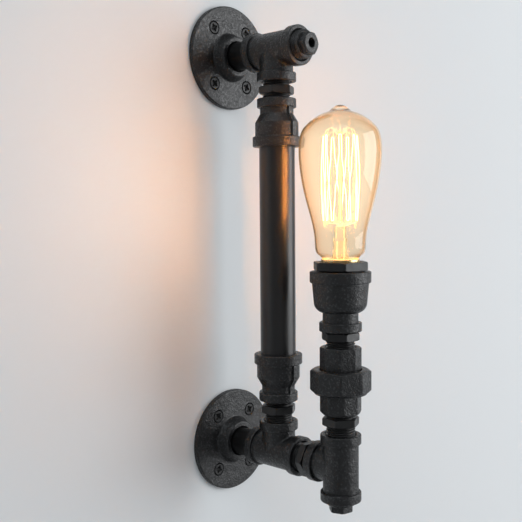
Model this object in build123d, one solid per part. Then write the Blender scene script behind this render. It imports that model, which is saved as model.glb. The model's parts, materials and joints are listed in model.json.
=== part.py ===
from build123d import *
import math
import os

# Industrial pipe wall light: malleable iron pipe fittings carry a filament bulb in front of the wall.
# Frame: X = 0 is the plane of symmetry, the wall is the plane Y = 0 with the wall itself on +Y,
# the light stands out along -Y, and +Z is up.  The origin is the centre of the lower flange's
# four screws, in the wall plane.  All sizes are in millimetres.

# ---------------------------------------------------------------- driving dimensions
FLANGE_SPACING = 305.0          # height between the two wall flanges
RISER_OFFSET = 53.2             # wall plane to the axis of the riser
LAMP_OFFSET = 114.0             # wall plane to the axis of the lamp

# half inch fittings
THREAD_R = 10.45                # half inch pipe thread, outside
THREAD_ENGAGE = 12.0            # length of thread screwed into a fitting
THREAD_DEPTH = 13.0             # depth of a fitting's threaded mouth
THREAD_FIT = 0.05               # radial clearance between a thread and its mouth
MOUTH_BEVEL = 1.6               # countersink round a half inch mouth
WATERWAY_R = 9.6                # bore inside a fitting, past its thread
THREAD_RUNOUT = 0.6             # thread of a stub pipe that shows past the fitting
NIPPLE_BORE_R = 7.6
PIPE_R = 10.65                  # half inch pipe
PIPE_BORE_R = 8.05
BODY_R = 12.9                   # barrel of a half inch fitting
BRANCH_R = 12.6                 # barrel of a tee's branch
BAND_R = 14.75                  # rolled band round a fitting's mouth
BAND_WIDTH = 6.8
BAND_ROUND = 0.8
CREASE_ROUND = 1.6              # cast fillet where a tee's branch meets its run
TEE_REACH = 24.2                # centre of a tee to each of its mouths

# three quarter inch riser
RISER_R = 13.45
RISER_BORE_R = 10.8
RISER_THREAD_R = 13.2
RISER_ENGAGE = 14.0
RISER_THREAD_DEPTH = 15.0

# hex nipples
NIPPLE_FLATS = 23.9             # across the flats
NIPPLE_HEX = 5.6                # thickness of the hexagon
HEX_BEVEL = 0.7
# name: (turn of the hexagon, thread shown below it, thread shown above it)
LOWER_NIPPLE = (34.0, 6.2, 3.6)
UPPER_NIPPLE = (29.0, 3.4, 3.5)
UNION_NIPPLE = (24.0, 6.6, 2.0)
CUP_NIPPLE = (57.0, 4.8, 0.8)
ARM_NIPPLE_TURN = 0.0
ARM_NIPPLE_SHOWN = 4.0          # thread shown between the lower tee and the arm's hexagon

# reducing sockets
SOCKET_LENGTH = 36.0
SOCKET_SMALL_R = 12.6
SOCKET_LARGE_R = 16.35
SOCKET_SMALL_END = 11.5         # where the taper starts, from the small mouth
SOCKET_LARGE_START = 18.0       # where the taper ends, from the small mouth
SOCKET_BAND_R = 18.3
SOCKET_BAND_WIDTH = 7.6
SOCKET_RIB_WIDTH = 3.2
SOCKET_RIB_RISE = 1.4

# wall flanges and their screws
FLANGE_R = 40.0
FLANGE_THICK = 4.0
FLANGE_HUB_R = 18.4
FLANGE_HUB_TOP_R = 15.3
FLANGE_HEIGHT = 12.2            # wall plane to the front of the hub
FLANGE_EDGE_ROUND = 0.9
FLANGE_HUB_ROUND = 1.5
SCREW_SPACING_X = 34.6          # between the screws across
SCREW_SPACING_Z = 42.6          # between the screws up and down
SCREW_HEAD_R = 4.4
SCREW_HEAD_DEPTH = 2.9
SCREW_SHANK_R = 2.1
SCREW_NECK_R = 1.9              # plain neck between a screw's head and the wall plane
SCREW_REACH = 26.0              # how far a screw stands out behind the wall plane
SCREW_POINT = 5.0
SCREW_HOLE_R = 2.5
COUNTERSINK_GAP = 1.1           # radial gap between a screw's head and its countersink
STUB_SETBACK = 1.5              # wall plane to the end of the stub pipe

# plugs
PLUG_FLATS = 15.4
PLUG_HEAD = 5.2
PLUG_BEVEL = 0.3
# name: (turn of the head, thread shown between the tee and the head)
UPPER_PLUG = (0.0, 5.6)
LOWER_PLUG = (10.0, 2.6)
PLUG_HOLE_R = 3.4
PLUG_HOLE_DEPTH = 6.5

# union
UNION_FLATS = 27.8              # octagons of the seat body and the tail body
SEAT_MOUTH_R = 12.4
SEAT_OCTAGON_START = 2.7        # from the seat body's lower end
SEAT_OCTAGON_LENGTH = 13.0
SEAT_COLLAR_LENGTH = 7.6        # thread that the nut runs on
SEAT_TURN = 2.0
GASKET_THICK = 1.5
GASKET_R = 15.0
TAIL_COLLAR_INSET = 0.6         # radius of the tail body's collar, less than the seat body's
TAIL_COLLAR_LENGTH = 4.4
TAIL_LENGTH = 24.0
TAIL_TURN = 39.0                # turn of the octagons of the tail body and the nut
NUT_FLATS = 40.8
NUT_WALL = 2.11                 # wall of the nut at the middle of a face
NUT_BELOW_SEAT = 8.4            # seat face down to the lower end of the nut
NUT_LIP = 3.6
NUT_TOP_BEVEL = 1.6
NUT_BOTTOM_BEVEL = 2.6
NUT_THREAD_GAP = 0.09           # running clearance of the nut on the seat body
NUT_TAIL_GAP = 0.3              # clearance of the nut's lip round the tail body

# lamp cup
CUP_LENGTH = 42.8
CUP_SMALL_BAND_R = 15.2
CUP_SMALL_BAND_WIDTH = 6.6
CUP_NECK_R = 12.75
CUP_NECK_DROP = 5.0             # inner floor down to the start of the shoulder
CUP_SHOULDER_MIDDLE = (17.0, 2.6)   # a point of the shoulder: radius, depth below the inner floor
CUP_SHOULDER_R = 19.0
CUP_SHOULDER_RISE = 2.2         # inner floor up to the end of the shoulder
CUP_BODY_TOP_R = 20.3
CUP_BAND_R = 21.85
CUP_BAND_WIDTH = 8.1
CUP_THREAD_R = 16.5             # one inch thread of the lampholder bush
CUP_WELL = 24.5                 # depth of the wide mouth, from the cup's rim to its inner floor
CUP_FLOOR_R = 15.6

# lampholder
BUSH_FLATS = 35.8
BUSH_HEX = 6.0
BUSH_TURN = 48.0
BUSH_GAP = 0.8                  # cup's rim to the hexagon
BUSH_BORE_R = 14.85
CERAMIC_THICK = 3.2
CERAMIC_FIT = 0.1
SLEEVE_WALL = 0.8
SLEEVE_FIT = 0.12
SLEEVE_RISE = 0.6               # sleeve past the end of the screw shell
SHELL_WALL = 0.4
SHELL_RIM_GAP = 1.1             # end of the screw shell to the rim of the bulb's cap
CONTACT_THICK = 0.5
CONTACT_WIDTH = 5.0
CONTACT_TOP = 3.2               # length of the sprung contact's flat top
CONTACT_GAP = 0.2               # sprung contact to the bulb's contact
CONTACT_HEAD_GAP = 0.4          # bend of the sprung contact to the terminal screw's head
TERMINAL_OFFSET = 6.0           # lamp axis to a terminal screw
TERMINAL_WIDTH = 4.6
TERMINAL_HEIGHT = 4.0
TERMINAL_SCREW_R = 1.0
TERMINAL_SCREW_DEPTH = 2.3
TERMINAL_HOLE_DEPTH = 2.5
TERMINAL_HEAD_R = 1.7
TERMINAL_HEAD = 1.2
CERAMIC_NOTCH = 7.4             # width of the notch over the earth screw
CORE_GAP = 0.3                  # earth core to the notch, and to the wall of the waterway
EARTH_OFFSET = 12.4             # lamp axis to the earth screw
EARTH_SCREW_R = 1.5
EARTH_SCREW_DEPTH = 3.4
EARTH_HOLE_DEPTH = 3.6
EARTH_HEAD_R = 2.6
EARTH_HEAD = 1.3
LUG_R = 3.0
LUG_THICK = 0.7

# bulb
CAP_R = 13.2                    # screw cap, over its thread
CAP_SHELL_GAP = 0.28            # cap to the lampholder's screw shell
CAP_WALL = 0.35
CAP_LENGTH = 19.0
CAP_STAND_OFF = 1.7             # bush's top face to the rim of the bulb's cap
CAP_TAPER = 1.8                 # height of the cone between the cap's floor and its wall
CAP_RIM_R = 13.75
CAP_RIM = 2.4
CAP_RIM_STEP = 0.5
CAP_FLOOR_HOLE_R = 6.0
CAP_FLOOR_R = 11.4
INSULATOR_R = 10.4
INSULATOR_EDGE = 1.2            # straight edge of the insulator, below the cap's floor
INSULATOR_TIP_R = 6.2
INSULATOR_HEIGHT = 4.6
CAP_CONTACT_R = 4.8
CAP_CONTACT_HEIGHT = 1.6
CAP_CONTACT_ROUND = 1.1
BULB_GLASS_WALL = 0.8
BULB_HEIGHT = 108.6             # cap rim to the tip of the glass
# side of the glass from the cap rim: (radius, height); its last point is where the round crown starts
BULB_SIDE = ((15.8, 3.2), (18.1, 11.5), (23.8, 39.8), (27.9, 59.5), (29.3, 76.0), (28.2, 87.0), (25.4, 93.0))
BULB_CROWN_R = 33.0
BULB_PIP_R = 9.0                # where the crown turns up into the pip
BULB_PIP_SIDE = (6.4, 105.5)
BULB_NECK_R = 13.0
BULB_NECK_LENGTH = 1.6          # straight neck inside the cap's rim
BULB_NECK_TOP = 0.1

# inside the bulb, heights from the cap rim
STEM_TUBE_R = 5.0
STEM_WALL = 0.6
STEM_TUBE_TOP = 15.0
STEM_CAVITY_TOP = 13.0
STEM_FLARE_TOP = 5.0
STEM_FLARE_GAP = 0.3            # rim of the flare to the inside of the glass
STEM_FLARE_BOTTOM = -1.2
# bend of the flare, then bend and mouth of the cavity inside it: (radius, height)
STEM_FLARE_BEND = (6.5, 1.6)
STEM_CAVITY_BEND = (5.7, 1.6)
STEM_CAVITY_BOTTOM = (7.5, -2.2)
PINCH_HEIGHT = 8.0
PINCH_SIZE = (3.4, 9.6)
PINCH_ROUND = 1.6
ROD_R = 1.2
HUB_HEIGHT = 87.5
HUB_R = 2.4
LOWER_HUB_HEIGHT = 25.0
CAGE_R = 12.5
CAGE_TOP = 87.0
CAGE_BOTTOM = 27.5
CAGE_STRANDS = 14
SUPPORT_R = 0.2
SUPPORT_ROOT = 0.6              # end of a support, below its hub's surface
# bends of a support on the way to its hook: (share of the way out, height over the hub)
UPPER_BENDS = ((0.55, 5.4), (0.85, 3.8))
LOWER_BENDS = ((0.8, 0.6),)
FILAMENT_R = 0.3
LEAD_R = 0.4
LEAD_FIT = 0.05
LEAD_OFFSET = 3.2               # bulb axis to a lead wire in the stem
LEAD_TURN = 0.5                 # from the pinch to the bend of a lead
LEAD_RISE = 1.4                 # last upright stretch of a lead, below the filament's end
LEAD_SEAL = 3.0                 # how far a lead's hole reaches below the pinch
NEUTRAL_LEAD_BENDS = (-9.0, -5.0)
LIVE_LEAD_BENDS = (-11.0, -6.0)

# supply cable inside the pipes
CABLE_R = 3.1
CABLE_BEND_R = 16.0
CABLE_START = 14.0              # wall plane to the end of the sheath
CABLE_TOP_STRIP = 6.0           # end of the sheath, below the terminals
CORE_R = 1.15
CORE_RING_R = 1.6               # cores about the middle of the cable
CORE_ANGLES = (-30, 210, 90)    # live, neutral and earth
CORE_STRAIGHT = 0.8             # core past the end of the sheath, before its bend
CORE_LAST_STRAIGHT = 1.2        # core below its terminal, after its bend
TAIL_START = 9.0                # wall plane to the tip of a ferrule
FERRULE_R = 1.3
FERRULE_LENGTH = 4.0

# cutting and finding edges
CUT = 1.0                       # how far a cutter passes the body that it cuts
SAME = 0.01                     # two sizes closer than this are the same

# ---------------------------------------------------------------- sizes worked out from them
nut_bore_r = NUT_FLATS / 2 - NUT_WALL
seat_collar_r = nut_bore_r - NUT_THREAD_GAP
tail_collar_r = seat_collar_r - TAIL_COLLAR_INSET
cup_floor = CUP_LENGTH - CUP_WELL
earth_core_offset = WATERWAY_R - CORE_R - CORE_GAP
core_places = [(CORE_RING_R * math.cos(math.radians(a)), CORE_RING_R * math.sin(math.radians(a)))
               for a in CORE_ANGLES]
SEAT_LENGTH = SEAT_OCTAGON_START + SEAT_OCTAGON_LENGTH + SEAT_COLLAR_LENGTH
lower_nipple_gap = LOWER_NIPPLE[1] + NIPPLE_HEX + LOWER_NIPPLE[2]
upper_nipple_gap = UPPER_NIPPLE[1] + NIPPLE_HEX + UPPER_NIPPLE[2]
lower_socket_z = TEE_REACH + lower_nipple_gap
riser_bottom_z = lower_socket_z + SOCKET_LENGTH
upper_socket_z = FLANGE_SPACING - TEE_REACH - upper_nipple_gap
riser_top_z = upper_socket_z - SOCKET_LENGTH
seat_z = TEE_REACH + UNION_NIPPLE[1] + NIPPLE_HEX + UNION_NIPPLE[2]
seat_face_z = seat_z + SEAT_LENGTH
tail_z = seat_face_z + GASKET_THICK
tail_top_z = tail_z + TAIL_LENGTH
cup_z = tail_top_z + CUP_NIPPLE[1] + NIPPLE_HEX + CUP_NIPPLE[2]
cup_floor_z = cup_z + cup_floor
cup_rim_z = cup_z + CUP_LENGTH
ceramic_top_z = cup_floor_z + CERAMIC_THICK
bush_top_z = cup_rim_z + BUSH_GAP + BUSH_HEX
shell_r = CAP_R + CAP_SHELL_GAP
cap_rim_z = bush_top_z + CAP_STAND_OFF
shell_top_z = cap_rim_z - CAP_RIM - SHELL_RIM_GAP
cap_floor_z = cap_rim_z - CAP_LENGTH
cap_contact_z = cap_floor_z - INSULATOR_HEIGHT - CAP_CONTACT_HEIGHT
sheath_top_z = cup_floor_z - TERMINAL_HEIGHT - CABLE_TOP_STRIP
arm_gap = LAMP_OFFSET - RISER_OFFSET - 2 * TEE_REACH


# ---------------------------------------------------------------- shapes that repeat
def turned(*outline):
    """Solid of revolution about Z from the corners (radius, height) of its half section."""
    corners = [point for point, before in zip(outline, (None, *outline)) if point != before]
    return revolve(make_face(Plane.XZ * Polyline(*corners, close=True)), Axis.Z)


def turned_from(*edges):
    """Solid of revolution about Z from lines and curves drawn as (radius, height)."""
    return revolve(make_face(Plane.XZ * Curve(children=list(edges))), Axis.Z)


def rims(body, *radii):
    """The circular edges of a body that have one of these radii."""
    circles = body.edges().filter_by(GeomType.CIRCLE)
    return [e for e in circles if min(abs(e.radius - r) for r in radii) < SAME]


def corner_radius(sides, flats):
    """Middle of a regular polygon to its corners, from the size across its flats."""
    return flats / 2 / math.cos(math.pi / sides)


def rod(radius, bottom, top):
    """Round rod on the Z axis between two heights."""
    return Pos(0, 0, bottom) * Cylinder(radius, top - bottom, align=(Align.CENTER, Align.CENTER, Align.MIN))


def tube(outer_r, inner_r, bottom, top):
    """Pipe on the Z axis between two heights."""
    return rod(outer_r, bottom, top) - rod(inner_r, bottom - CUT, top + CUT)


def prism(sides, flats, bottom, top, turn, bevel_bottom=HEX_BEVEL, bevel_top=HEX_BEVEL):
    """Spanner faces about Z, with their corners turned off at 30 degrees at each end."""
    corner_r = corner_radius(sides, flats)
    block = Pos(0, 0, bottom) * extrude(RegularPolygon(corner_r, sides, rotation=turn), top - bottom)
    lean = math.sqrt(3)
    turned_off = turned((0, bottom), (corner_r - bevel_bottom * lean, bottom),
                        (corner_r, bottom + bevel_bottom), (corner_r, top - bevel_top),
                        (corner_r - bevel_top * lean, top), (0, top))
    return block & turned_off


def outwards(height, part):
    """Place a part drawn along +Z so that it stands out of the wall, on the axis at this height."""
    return Pos(0, 0, height) * Rot(90, 0, 0) * part


def on_riser(part):
    return Pos(0, -RISER_OFFSET, 0) * part


def on_lamp(part):
    return Pos(0, -LAMP_OFFSET, 0) * part


def mouth(face, inward):
    """Cutter for a half inch threaded mouth on Z, countersunk: from its face, inward is +1 or -1 along Z."""
    bore_r = THREAD_R + THREAD_FIT
    before, bevel_end, end = face - inward * CUT, face + inward * MOUTH_BEVEL, face + inward * THREAD_DEPTH
    return turned((0, before), (bore_r + MOUTH_BEVEL, before), (bore_r + MOUTH_BEVEL, face),
                  (bore_r, bevel_end), (bore_r, end), (0, end))


# ---------------------------------------------------------------- pipe fittings
def banded_run():
    """A tee's straight barrel on Z, with a rounded band at both mouths."""
    reach, inner = TEE_REACH, TEE_REACH - BAND_WIDTH
    body = turned((0, -reach), (BAND_R, -reach), (BAND_R, -inner), (BODY_R, -inner), (BODY_R, inner),
                  (BAND_R, inner), (BAND_R, reach), (0, reach))
    return fillet(rims(body, BAND_R), BAND_ROUND)


def banded_branch():
    """A tee's branch on +Y, which ends in a rounded band."""
    reach, inner = TEE_REACH, TEE_REACH - BAND_WIDTH
    body = turned((0, 0), (BRANCH_R, 0), (BRANCH_R, inner), (BAND_R, inner), (BAND_R, reach), (0, reach))
    return Rot(-90, 0, 0) * fillet(rims(body, BAND_R), BAND_ROUND)


def tee():
    """Equal tee: run on Z, branch on +Y, threaded at its three mouths."""
    body = banded_run() + banded_branch()
    crease = [e for e in body.edges() if e.geom_type not in (GeomType.CIRCLE, GeomType.LINE)]
    body = fillet(crease, CREASE_ROUND)
    branch_cut = rod(WATERWAY_R, 0, TEE_REACH) + mouth(TEE_REACH, -1)
    return (body - rod(WATERWAY_R, -TEE_REACH, TEE_REACH) - mouth(TEE_REACH, -1) - mouth(-TEE_REACH, 1)
            - Rot(-90, 0, 0) * branch_cut)


def hex_nipple(turn, shown_below, shown_above):
    """Nipple whose lower mouth face is at Z = 0: thread, hexagon, thread, bored through."""
    hex_top = shown_below + NIPPLE_HEX
    top = hex_top + shown_above + THREAD_ENGAGE
    body = rod(THREAD_R, -THREAD_ENGAGE, top) + prism(6, NIPPLE_FLATS, shown_below, hex_top, turn)
    return body - rod(NIPPLE_BORE_R, -THREAD_ENGAGE - CUT, top + CUT)


def reducing_socket():
    """Socket with its half inch mouth at Z = 0 and its three quarter inch mouth at the top, two ribs."""
    band_start = SOCKET_LENGTH - SOCKET_BAND_WIDTH
    outline = ((0, 0), (BAND_R, 0), (BAND_R, BAND_WIDTH), (SOCKET_SMALL_R, BAND_WIDTH),
               (SOCKET_SMALL_R, SOCKET_SMALL_END), (SOCKET_LARGE_R, SOCKET_LARGE_START),
               (SOCKET_LARGE_R, band_start), (SOCKET_BAND_R, band_start), (SOCKET_BAND_R, SOCKET_LENGTH),
               (0, SOCKET_LENGTH))
    body = turned(*outline)
    body = fillet(rims(body, BAND_R, SOCKET_BAND_R), BAND_ROUND)
    small_r, large_r = SOCKET_SMALL_R + SOCKET_RIB_RISE, SOCKET_LARGE_R + SOCKET_RIB_RISE
    rib_start, rib_end = BAND_WIDTH / 2, band_start + CUT
    rib = Plane.YZ * Polyline((0, rib_start), (small_r, rib_start), (small_r, SOCKET_SMALL_END),
                              (large_r, SOCKET_LARGE_START), (large_r, rib_end), (0, rib_end), close=True)
    rib = extrude(make_face(rib), SOCKET_RIB_WIDTH / 2, both=True)
    body = body + rib + mirror(rib, Plane.XZ)
    large_mouth = rod(RISER_THREAD_R + THREAD_FIT, SOCKET_LENGTH - RISER_THREAD_DEPTH, SOCKET_LENGTH + CUT)
    return body - rod(WATERWAY_R, CUT, SOCKET_LENGTH) - mouth(0, 1) - large_mouth


def threaded_pipe(length):
    """Half inch pipe from Z = 0, with the thread cut at both ends."""
    ends = THREAD_ENGAGE + THREAD_RUNOUT
    body = rod(THREAD_R, 0, length) + rod(PIPE_R, ends, length - ends)
    return body - rod(PIPE_BORE_R, -CUT, length + CUT)


def plug(turn, shown):
    """Plug whose head stands out along +Z from the mouth face at Z = 0, with a blind hole in its head."""
    top = shown + PLUG_HEAD
    body = rod(THREAD_R, -THREAD_ENGAGE, shown) + prism(6, PLUG_FLATS, shown, top, turn, 0, PLUG_BEVEL)
    return body - rod(PLUG_HOLE_R, top - PLUG_HOLE_DEPTH, top + CUT)


# ---------------------------------------------------------------- wall flange and screws
def screw_places():
    return GridLocations(SCREW_SPACING_X, SCREW_SPACING_Z, 2, 2)


def wall_flange():
    """Round flange on Z: flat back at Z = 0, tapered hub, threaded bore, countersunk screw holes."""
    body = turned((0, 0), (FLANGE_R, 0), (FLANGE_R, FLANGE_THICK), (FLANGE_HUB_R, FLANGE_THICK),
                  (FLANGE_HUB_TOP_R, FLANGE_HEIGHT), (0, FLANGE_HEIGHT))
    front_rim = [e for e in rims(body, FLANGE_R) if e.center().Z > FLANGE_THICK / 2]
    body = fillet(front_rim, FLANGE_EDGE_ROUND)
    body = fillet(rims(body, FLANGE_HUB_R, FLANGE_HUB_TOP_R), FLANGE_HUB_ROUND)
    body -= mouth(FLANGE_HEIGHT, -1) + rod(THREAD_R + THREAD_FIT, -CUT, FLANGE_HEIGHT / 2)
    countersink_r, above = SCREW_HEAD_R + COUNTERSINK_GAP, FLANGE_THICK + CUT
    hole = turned((0, -CUT), (SCREW_HOLE_R, -CUT), (SCREW_HOLE_R, FLANGE_THICK - SCREW_HEAD_DEPTH),
                  (countersink_r, FLANGE_THICK), (countersink_r, above), (0, above))
    for place in screw_places():
        body -= place * hole
    return body


def wall_screws():
    """The screws of one flange: countersunk head, neck, and a pointed shank behind the wall plane."""
    screw = turned((0, -SCREW_REACH), (SCREW_SHANK_R, SCREW_POINT - SCREW_REACH), (SCREW_SHANK_R, 0),
                   (SCREW_NECK_R, 0), (SCREW_NECK_R, FLANGE_THICK - SCREW_HEAD_DEPTH),
                   (SCREW_HEAD_R, FLANGE_THICK), (0, FLANGE_THICK))
    return Compound(children=[place * screw for place in screw_places()])


# ---------------------------------------------------------------- union
def union_seat():
    """Lower half of the union: cone, octagon, and the threaded collar that the nut runs on."""
    octagon_top = SEAT_OCTAGON_START + SEAT_OCTAGON_LENGTH
    corner_r = corner_radius(8, UNION_FLATS)
    faces = prism(8, UNION_FLATS, 0, octagon_top, SEAT_TURN, 0, 0)
    cone = turned((0, 0), (SEAT_MOUTH_R, 0), (corner_r, SEAT_OCTAGON_START), (corner_r, octagon_top),
                  (0, octagon_top))
    body = (faces & cone) + rod(seat_collar_r, octagon_top, SEAT_LENGTH)
    return body - mouth(0, 1) - rod(WATERWAY_R, CUT, SEAT_LENGTH + CUT)


def union_tail():
    """Upper half of the union: the collar that the nut pulls down, and an octagon with a threaded mouth."""
    body = rod(tail_collar_r, 0, TAIL_COLLAR_LENGTH)
    body += prism(8, UNION_FLATS, TAIL_COLLAR_LENGTH, TAIL_LENGTH, TAIL_TURN, 0)
    return body - mouth(TAIL_LENGTH, -1) - rod(WATERWAY_R, -CUT, TAIL_LENGTH - CUT)


def union_nut():
    """Octagon nut: threaded on the seat body below, with a lip over the tail body's collar above."""
    lip_bottom = seat_face_z + GASKET_THICK + TAIL_COLLAR_LENGTH + THREAD_FIT
    bottom = seat_face_z - NUT_BELOW_SEAT
    top = lip_bottom + NUT_LIP
    body = prism(8, NUT_FLATS, bottom, top, TAIL_TURN, NUT_BOTTOM_BEVEL, NUT_TOP_BEVEL)
    body -= rod(nut_bore_r, bottom - CUT, lip_bottom)
    return body - rod(corner_radius(8, UNION_FLATS) + NUT_TAIL_GAP, bottom, top + CUT)


# ---------------------------------------------------------------- lamp cup and lampholder
def lamp_cup():
    """Bell-shaped reducing socket: half inch mouth below, one inch mouth above for the lampholder."""
    band_start = CUP_LENGTH - CUP_BAND_WIDTH
    neck_end, shoulder_end = cup_floor - CUP_NECK_DROP, cup_floor + CUP_SHOULDER_RISE
    middle_r, middle_drop = CUP_SHOULDER_MIDDLE
    shoulder = ThreePointArc((CUP_NECK_R, neck_end), (middle_r, cup_floor - middle_drop),
                             (CUP_SHOULDER_R, shoulder_end))
    lines = [Line((0, 0), (CUP_SMALL_BAND_R, 0)),
             Line((CUP_SMALL_BAND_R, 0), (CUP_SMALL_BAND_R, CUP_SMALL_BAND_WIDTH)),
             Line((CUP_SMALL_BAND_R, CUP_SMALL_BAND_WIDTH), (CUP_NECK_R, CUP_SMALL_BAND_WIDTH)),
             Line((CUP_NECK_R, CUP_SMALL_BAND_WIDTH), (CUP_NECK_R, neck_end)),
             shoulder,
             Line((CUP_SHOULDER_R, shoulder_end), (CUP_BODY_TOP_R, band_start)),
             Line((CUP_BODY_TOP_R, band_start), (CUP_BAND_R, band_start)),
             Line((CUP_BAND_R, band_start), (CUP_BAND_R, CUP_LENGTH)),
             Line((CUP_BAND_R, CUP_LENGTH), (0, CUP_LENGTH)),
             Line((0, CUP_LENGTH), (0, 0))]
    body = turned_from(*lines)
    body = fillet(rims(body, CUP_BAND_R, CUP_SMALL_BAND_R), BAND_ROUND)
    ceramic_top, thread_r, above = cup_floor + CERAMIC_THICK, CUP_THREAD_R + THREAD_FIT, CUP_LENGTH + CUT
    inside = turned((0, cup_floor), (CUP_FLOOR_R, cup_floor), (CUP_FLOOR_R, ceramic_top),
                    (thread_r, ceramic_top), (thread_r, above), (0, above))
    earth_hole = Pos(0, EARTH_OFFSET, 0) * rod(EARTH_SCREW_R + THREAD_FIT, cup_floor - EARTH_HOLE_DEPTH,
                                               cup_floor + CUT)
    return body - mouth(0, 1) - rod(WATERWAY_R, CUT, CUP_LENGTH) - inside - earth_hole


def lampholder_bush():
    """Hexagon with a one inch thread that screws into the cup and clamps the ceramic base."""
    body = rod(CUP_THREAD_R, ceramic_top_z, bush_top_z - BUSH_HEX)
    body += prism(6, BUSH_FLATS, bush_top_z - BUSH_HEX, bush_top_z, BUSH_TURN)
    return body - rod(BUSH_BORE_R, ceramic_top_z - CUT, bush_top_z + CUT)


def terminal_hole(bottom, top):
    """Cutter for a terminal screw's hole, between two heights."""
    return rod(TERMINAL_SCREW_R + THREAD_FIT, bottom, top)


def ceramic_base():
    """Ceramic disc on the cup's floor, with holes for the terminal screws and a notch for the earth screw."""
    body = rod(CUP_FLOOR_R - CERAMIC_FIT, cup_floor_z, ceramic_top_z)
    for side in (-1, 1):
        body -= Pos(side * TERMINAL_OFFSET, 0, 0) * terminal_hole(cup_floor_z - CUT, ceramic_top_z + CUT)
    notch = Box(CERAMIC_NOTCH, CUP_FLOOR_R, CERAMIC_THICK + 2 * CUT,
                align=(Align.CENTER, Align.MIN, Align.CENTER))
    notch_start = earth_core_offset - CORE_R - CORE_GAP
    return body - Pos(0, notch_start, (cup_floor_z + ceramic_top_z) / 2) * notch


def screw_shell():
    """Brass shell of the lampholder, with a foot under the neutral terminal screw."""
    bottom = ceramic_top_z
    body = tube(shell_r + SHELL_WALL, shell_r, bottom, shell_top_z)
    inner_end = TERMINAL_OFFSET - CONTACT_WIDTH / 2
    foot = Pos(-inner_end, 0, bottom) * Box(shell_r + SHELL_WALL - inner_end, CONTACT_WIDTH, CONTACT_THICK,
                                            align=(Align.MAX, Align.CENTER, Align.MIN))
    body += foot & rod(shell_r + SHELL_WALL, bottom, bottom + CONTACT_THICK)
    return body - Pos(-TERMINAL_OFFSET, 0, 0) * terminal_hole(bottom - CUT, bottom + CONTACT_THICK + CUT)


def centre_contact():
    """Sprung brass strip: flat under the live terminal screw, then rising to the bulb's contact."""
    floor = ceramic_top_z
    top = cap_contact_z - CONTACT_GAP
    foot_end = TERMINAL_OFFSET + CONTACT_WIDTH / 2
    bend = TERMINAL_OFFSET - TERMINAL_HEAD_R - CONTACT_HEAD_GAP
    under = [(foot_end, floor), (bend, floor), (CONTACT_TOP / 2, top - CONTACT_THICK),
             (-CONTACT_TOP / 2, top - CONTACT_THICK)]
    over = [(-CONTACT_TOP / 2, top), (CONTACT_TOP / 2, top), (bend, floor + CONTACT_THICK),
            (foot_end, floor + CONTACT_THICK)]
    strip = extrude(make_face(Plane.XZ * Polyline(*under, *over, close=True)), CONTACT_WIDTH / 2, both=True)
    return strip - Pos(TERMINAL_OFFSET, 0, 0) * terminal_hole(floor - CUT, floor + CONTACT_THICK + CUT)


def terminals():
    """Brass terminal blocks under the ceramic, drilled for their screws."""
    bottom = cup_floor_z - TERMINAL_HEIGHT
    block = Pos(0, 0, bottom) * Box(TERMINAL_WIDTH, TERMINAL_WIDTH, TERMINAL_HEIGHT,
                                    align=(Align.CENTER, Align.CENTER, Align.MIN))
    block -= terminal_hole(cup_floor_z - TERMINAL_HOLE_DEPTH, cup_floor_z + CUT)
    return Compound(children=[on_lamp(Pos(side * TERMINAL_OFFSET, 0, 0) * block) for side in (-1, 1)])


def terminal_screws():
    """Cheese-headed screws through the brass strips and the ceramic into the terminal blocks."""
    seat = ceramic_top_z + CONTACT_THICK
    shank = rod(TERMINAL_SCREW_R, cup_floor_z - TERMINAL_SCREW_DEPTH, seat)
    screw = shank + rod(TERMINAL_HEAD_R, seat, seat + TERMINAL_HEAD)
    return Compound(children=[on_lamp(Pos(side * TERMINAL_OFFSET, 0, 0) * screw) for side in (-1, 1)])


def earth_screw():
    seat = cup_floor_z + LUG_THICK
    shank = rod(EARTH_SCREW_R, cup_floor_z - EARTH_SCREW_DEPTH, seat)
    return Pos(0, EARTH_OFFSET, 0) * (shank + rod(EARTH_HEAD_R, seat, seat + EARTH_HEAD))


def earth_lug():
    """Ring lug under the earth screw, with a tongue over the edge of the neck for the earth core."""
    ring = Pos(0, EARTH_OFFSET, 0) * rod(LUG_R, cup_floor_z, cup_floor_z + LUG_THICK)
    tongue_length = EARTH_OFFSET - earth_core_offset + CORE_R
    tongue = Pos(0, earth_core_offset - CORE_R, cup_floor_z) * Box(
        2 * CORE_R, tongue_length, LUG_THICK, align=(Align.CENTER, Align.MIN, Align.MIN))
    hole = rod(EARTH_SCREW_R + THREAD_FIT, cup_floor_z - CUT, cup_floor_z + LUG_THICK + CUT)
    return ring + tongue - Pos(0, EARTH_OFFSET, 0) * hole


# ---------------------------------------------------------------- bulb, drawn from its cap rim at Z = 0
def smooth(start_way, *points_and_end_way):
    """Smooth curve through the points, leaving the first along start_way and ending along the last vector."""
    *points, end_way = points_and_end_way
    return Spline(*points, tangents=(start_way, end_way), tangent_scalars=(1, 1))


def crown_point(radius, at_r):
    """Point of a sphere about the crown's centre, at a distance from the axis, and the way down its side."""
    shoulder_r, shoulder_z = BULB_SIDE[-1]
    centre_z = shoulder_z - math.sqrt(BULB_CROWN_R ** 2 - shoulder_r ** 2)
    height = math.sqrt(radius ** 2 - at_r ** 2)
    return (at_r, centre_z + height), (-height / radius, at_r / radius)


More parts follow.
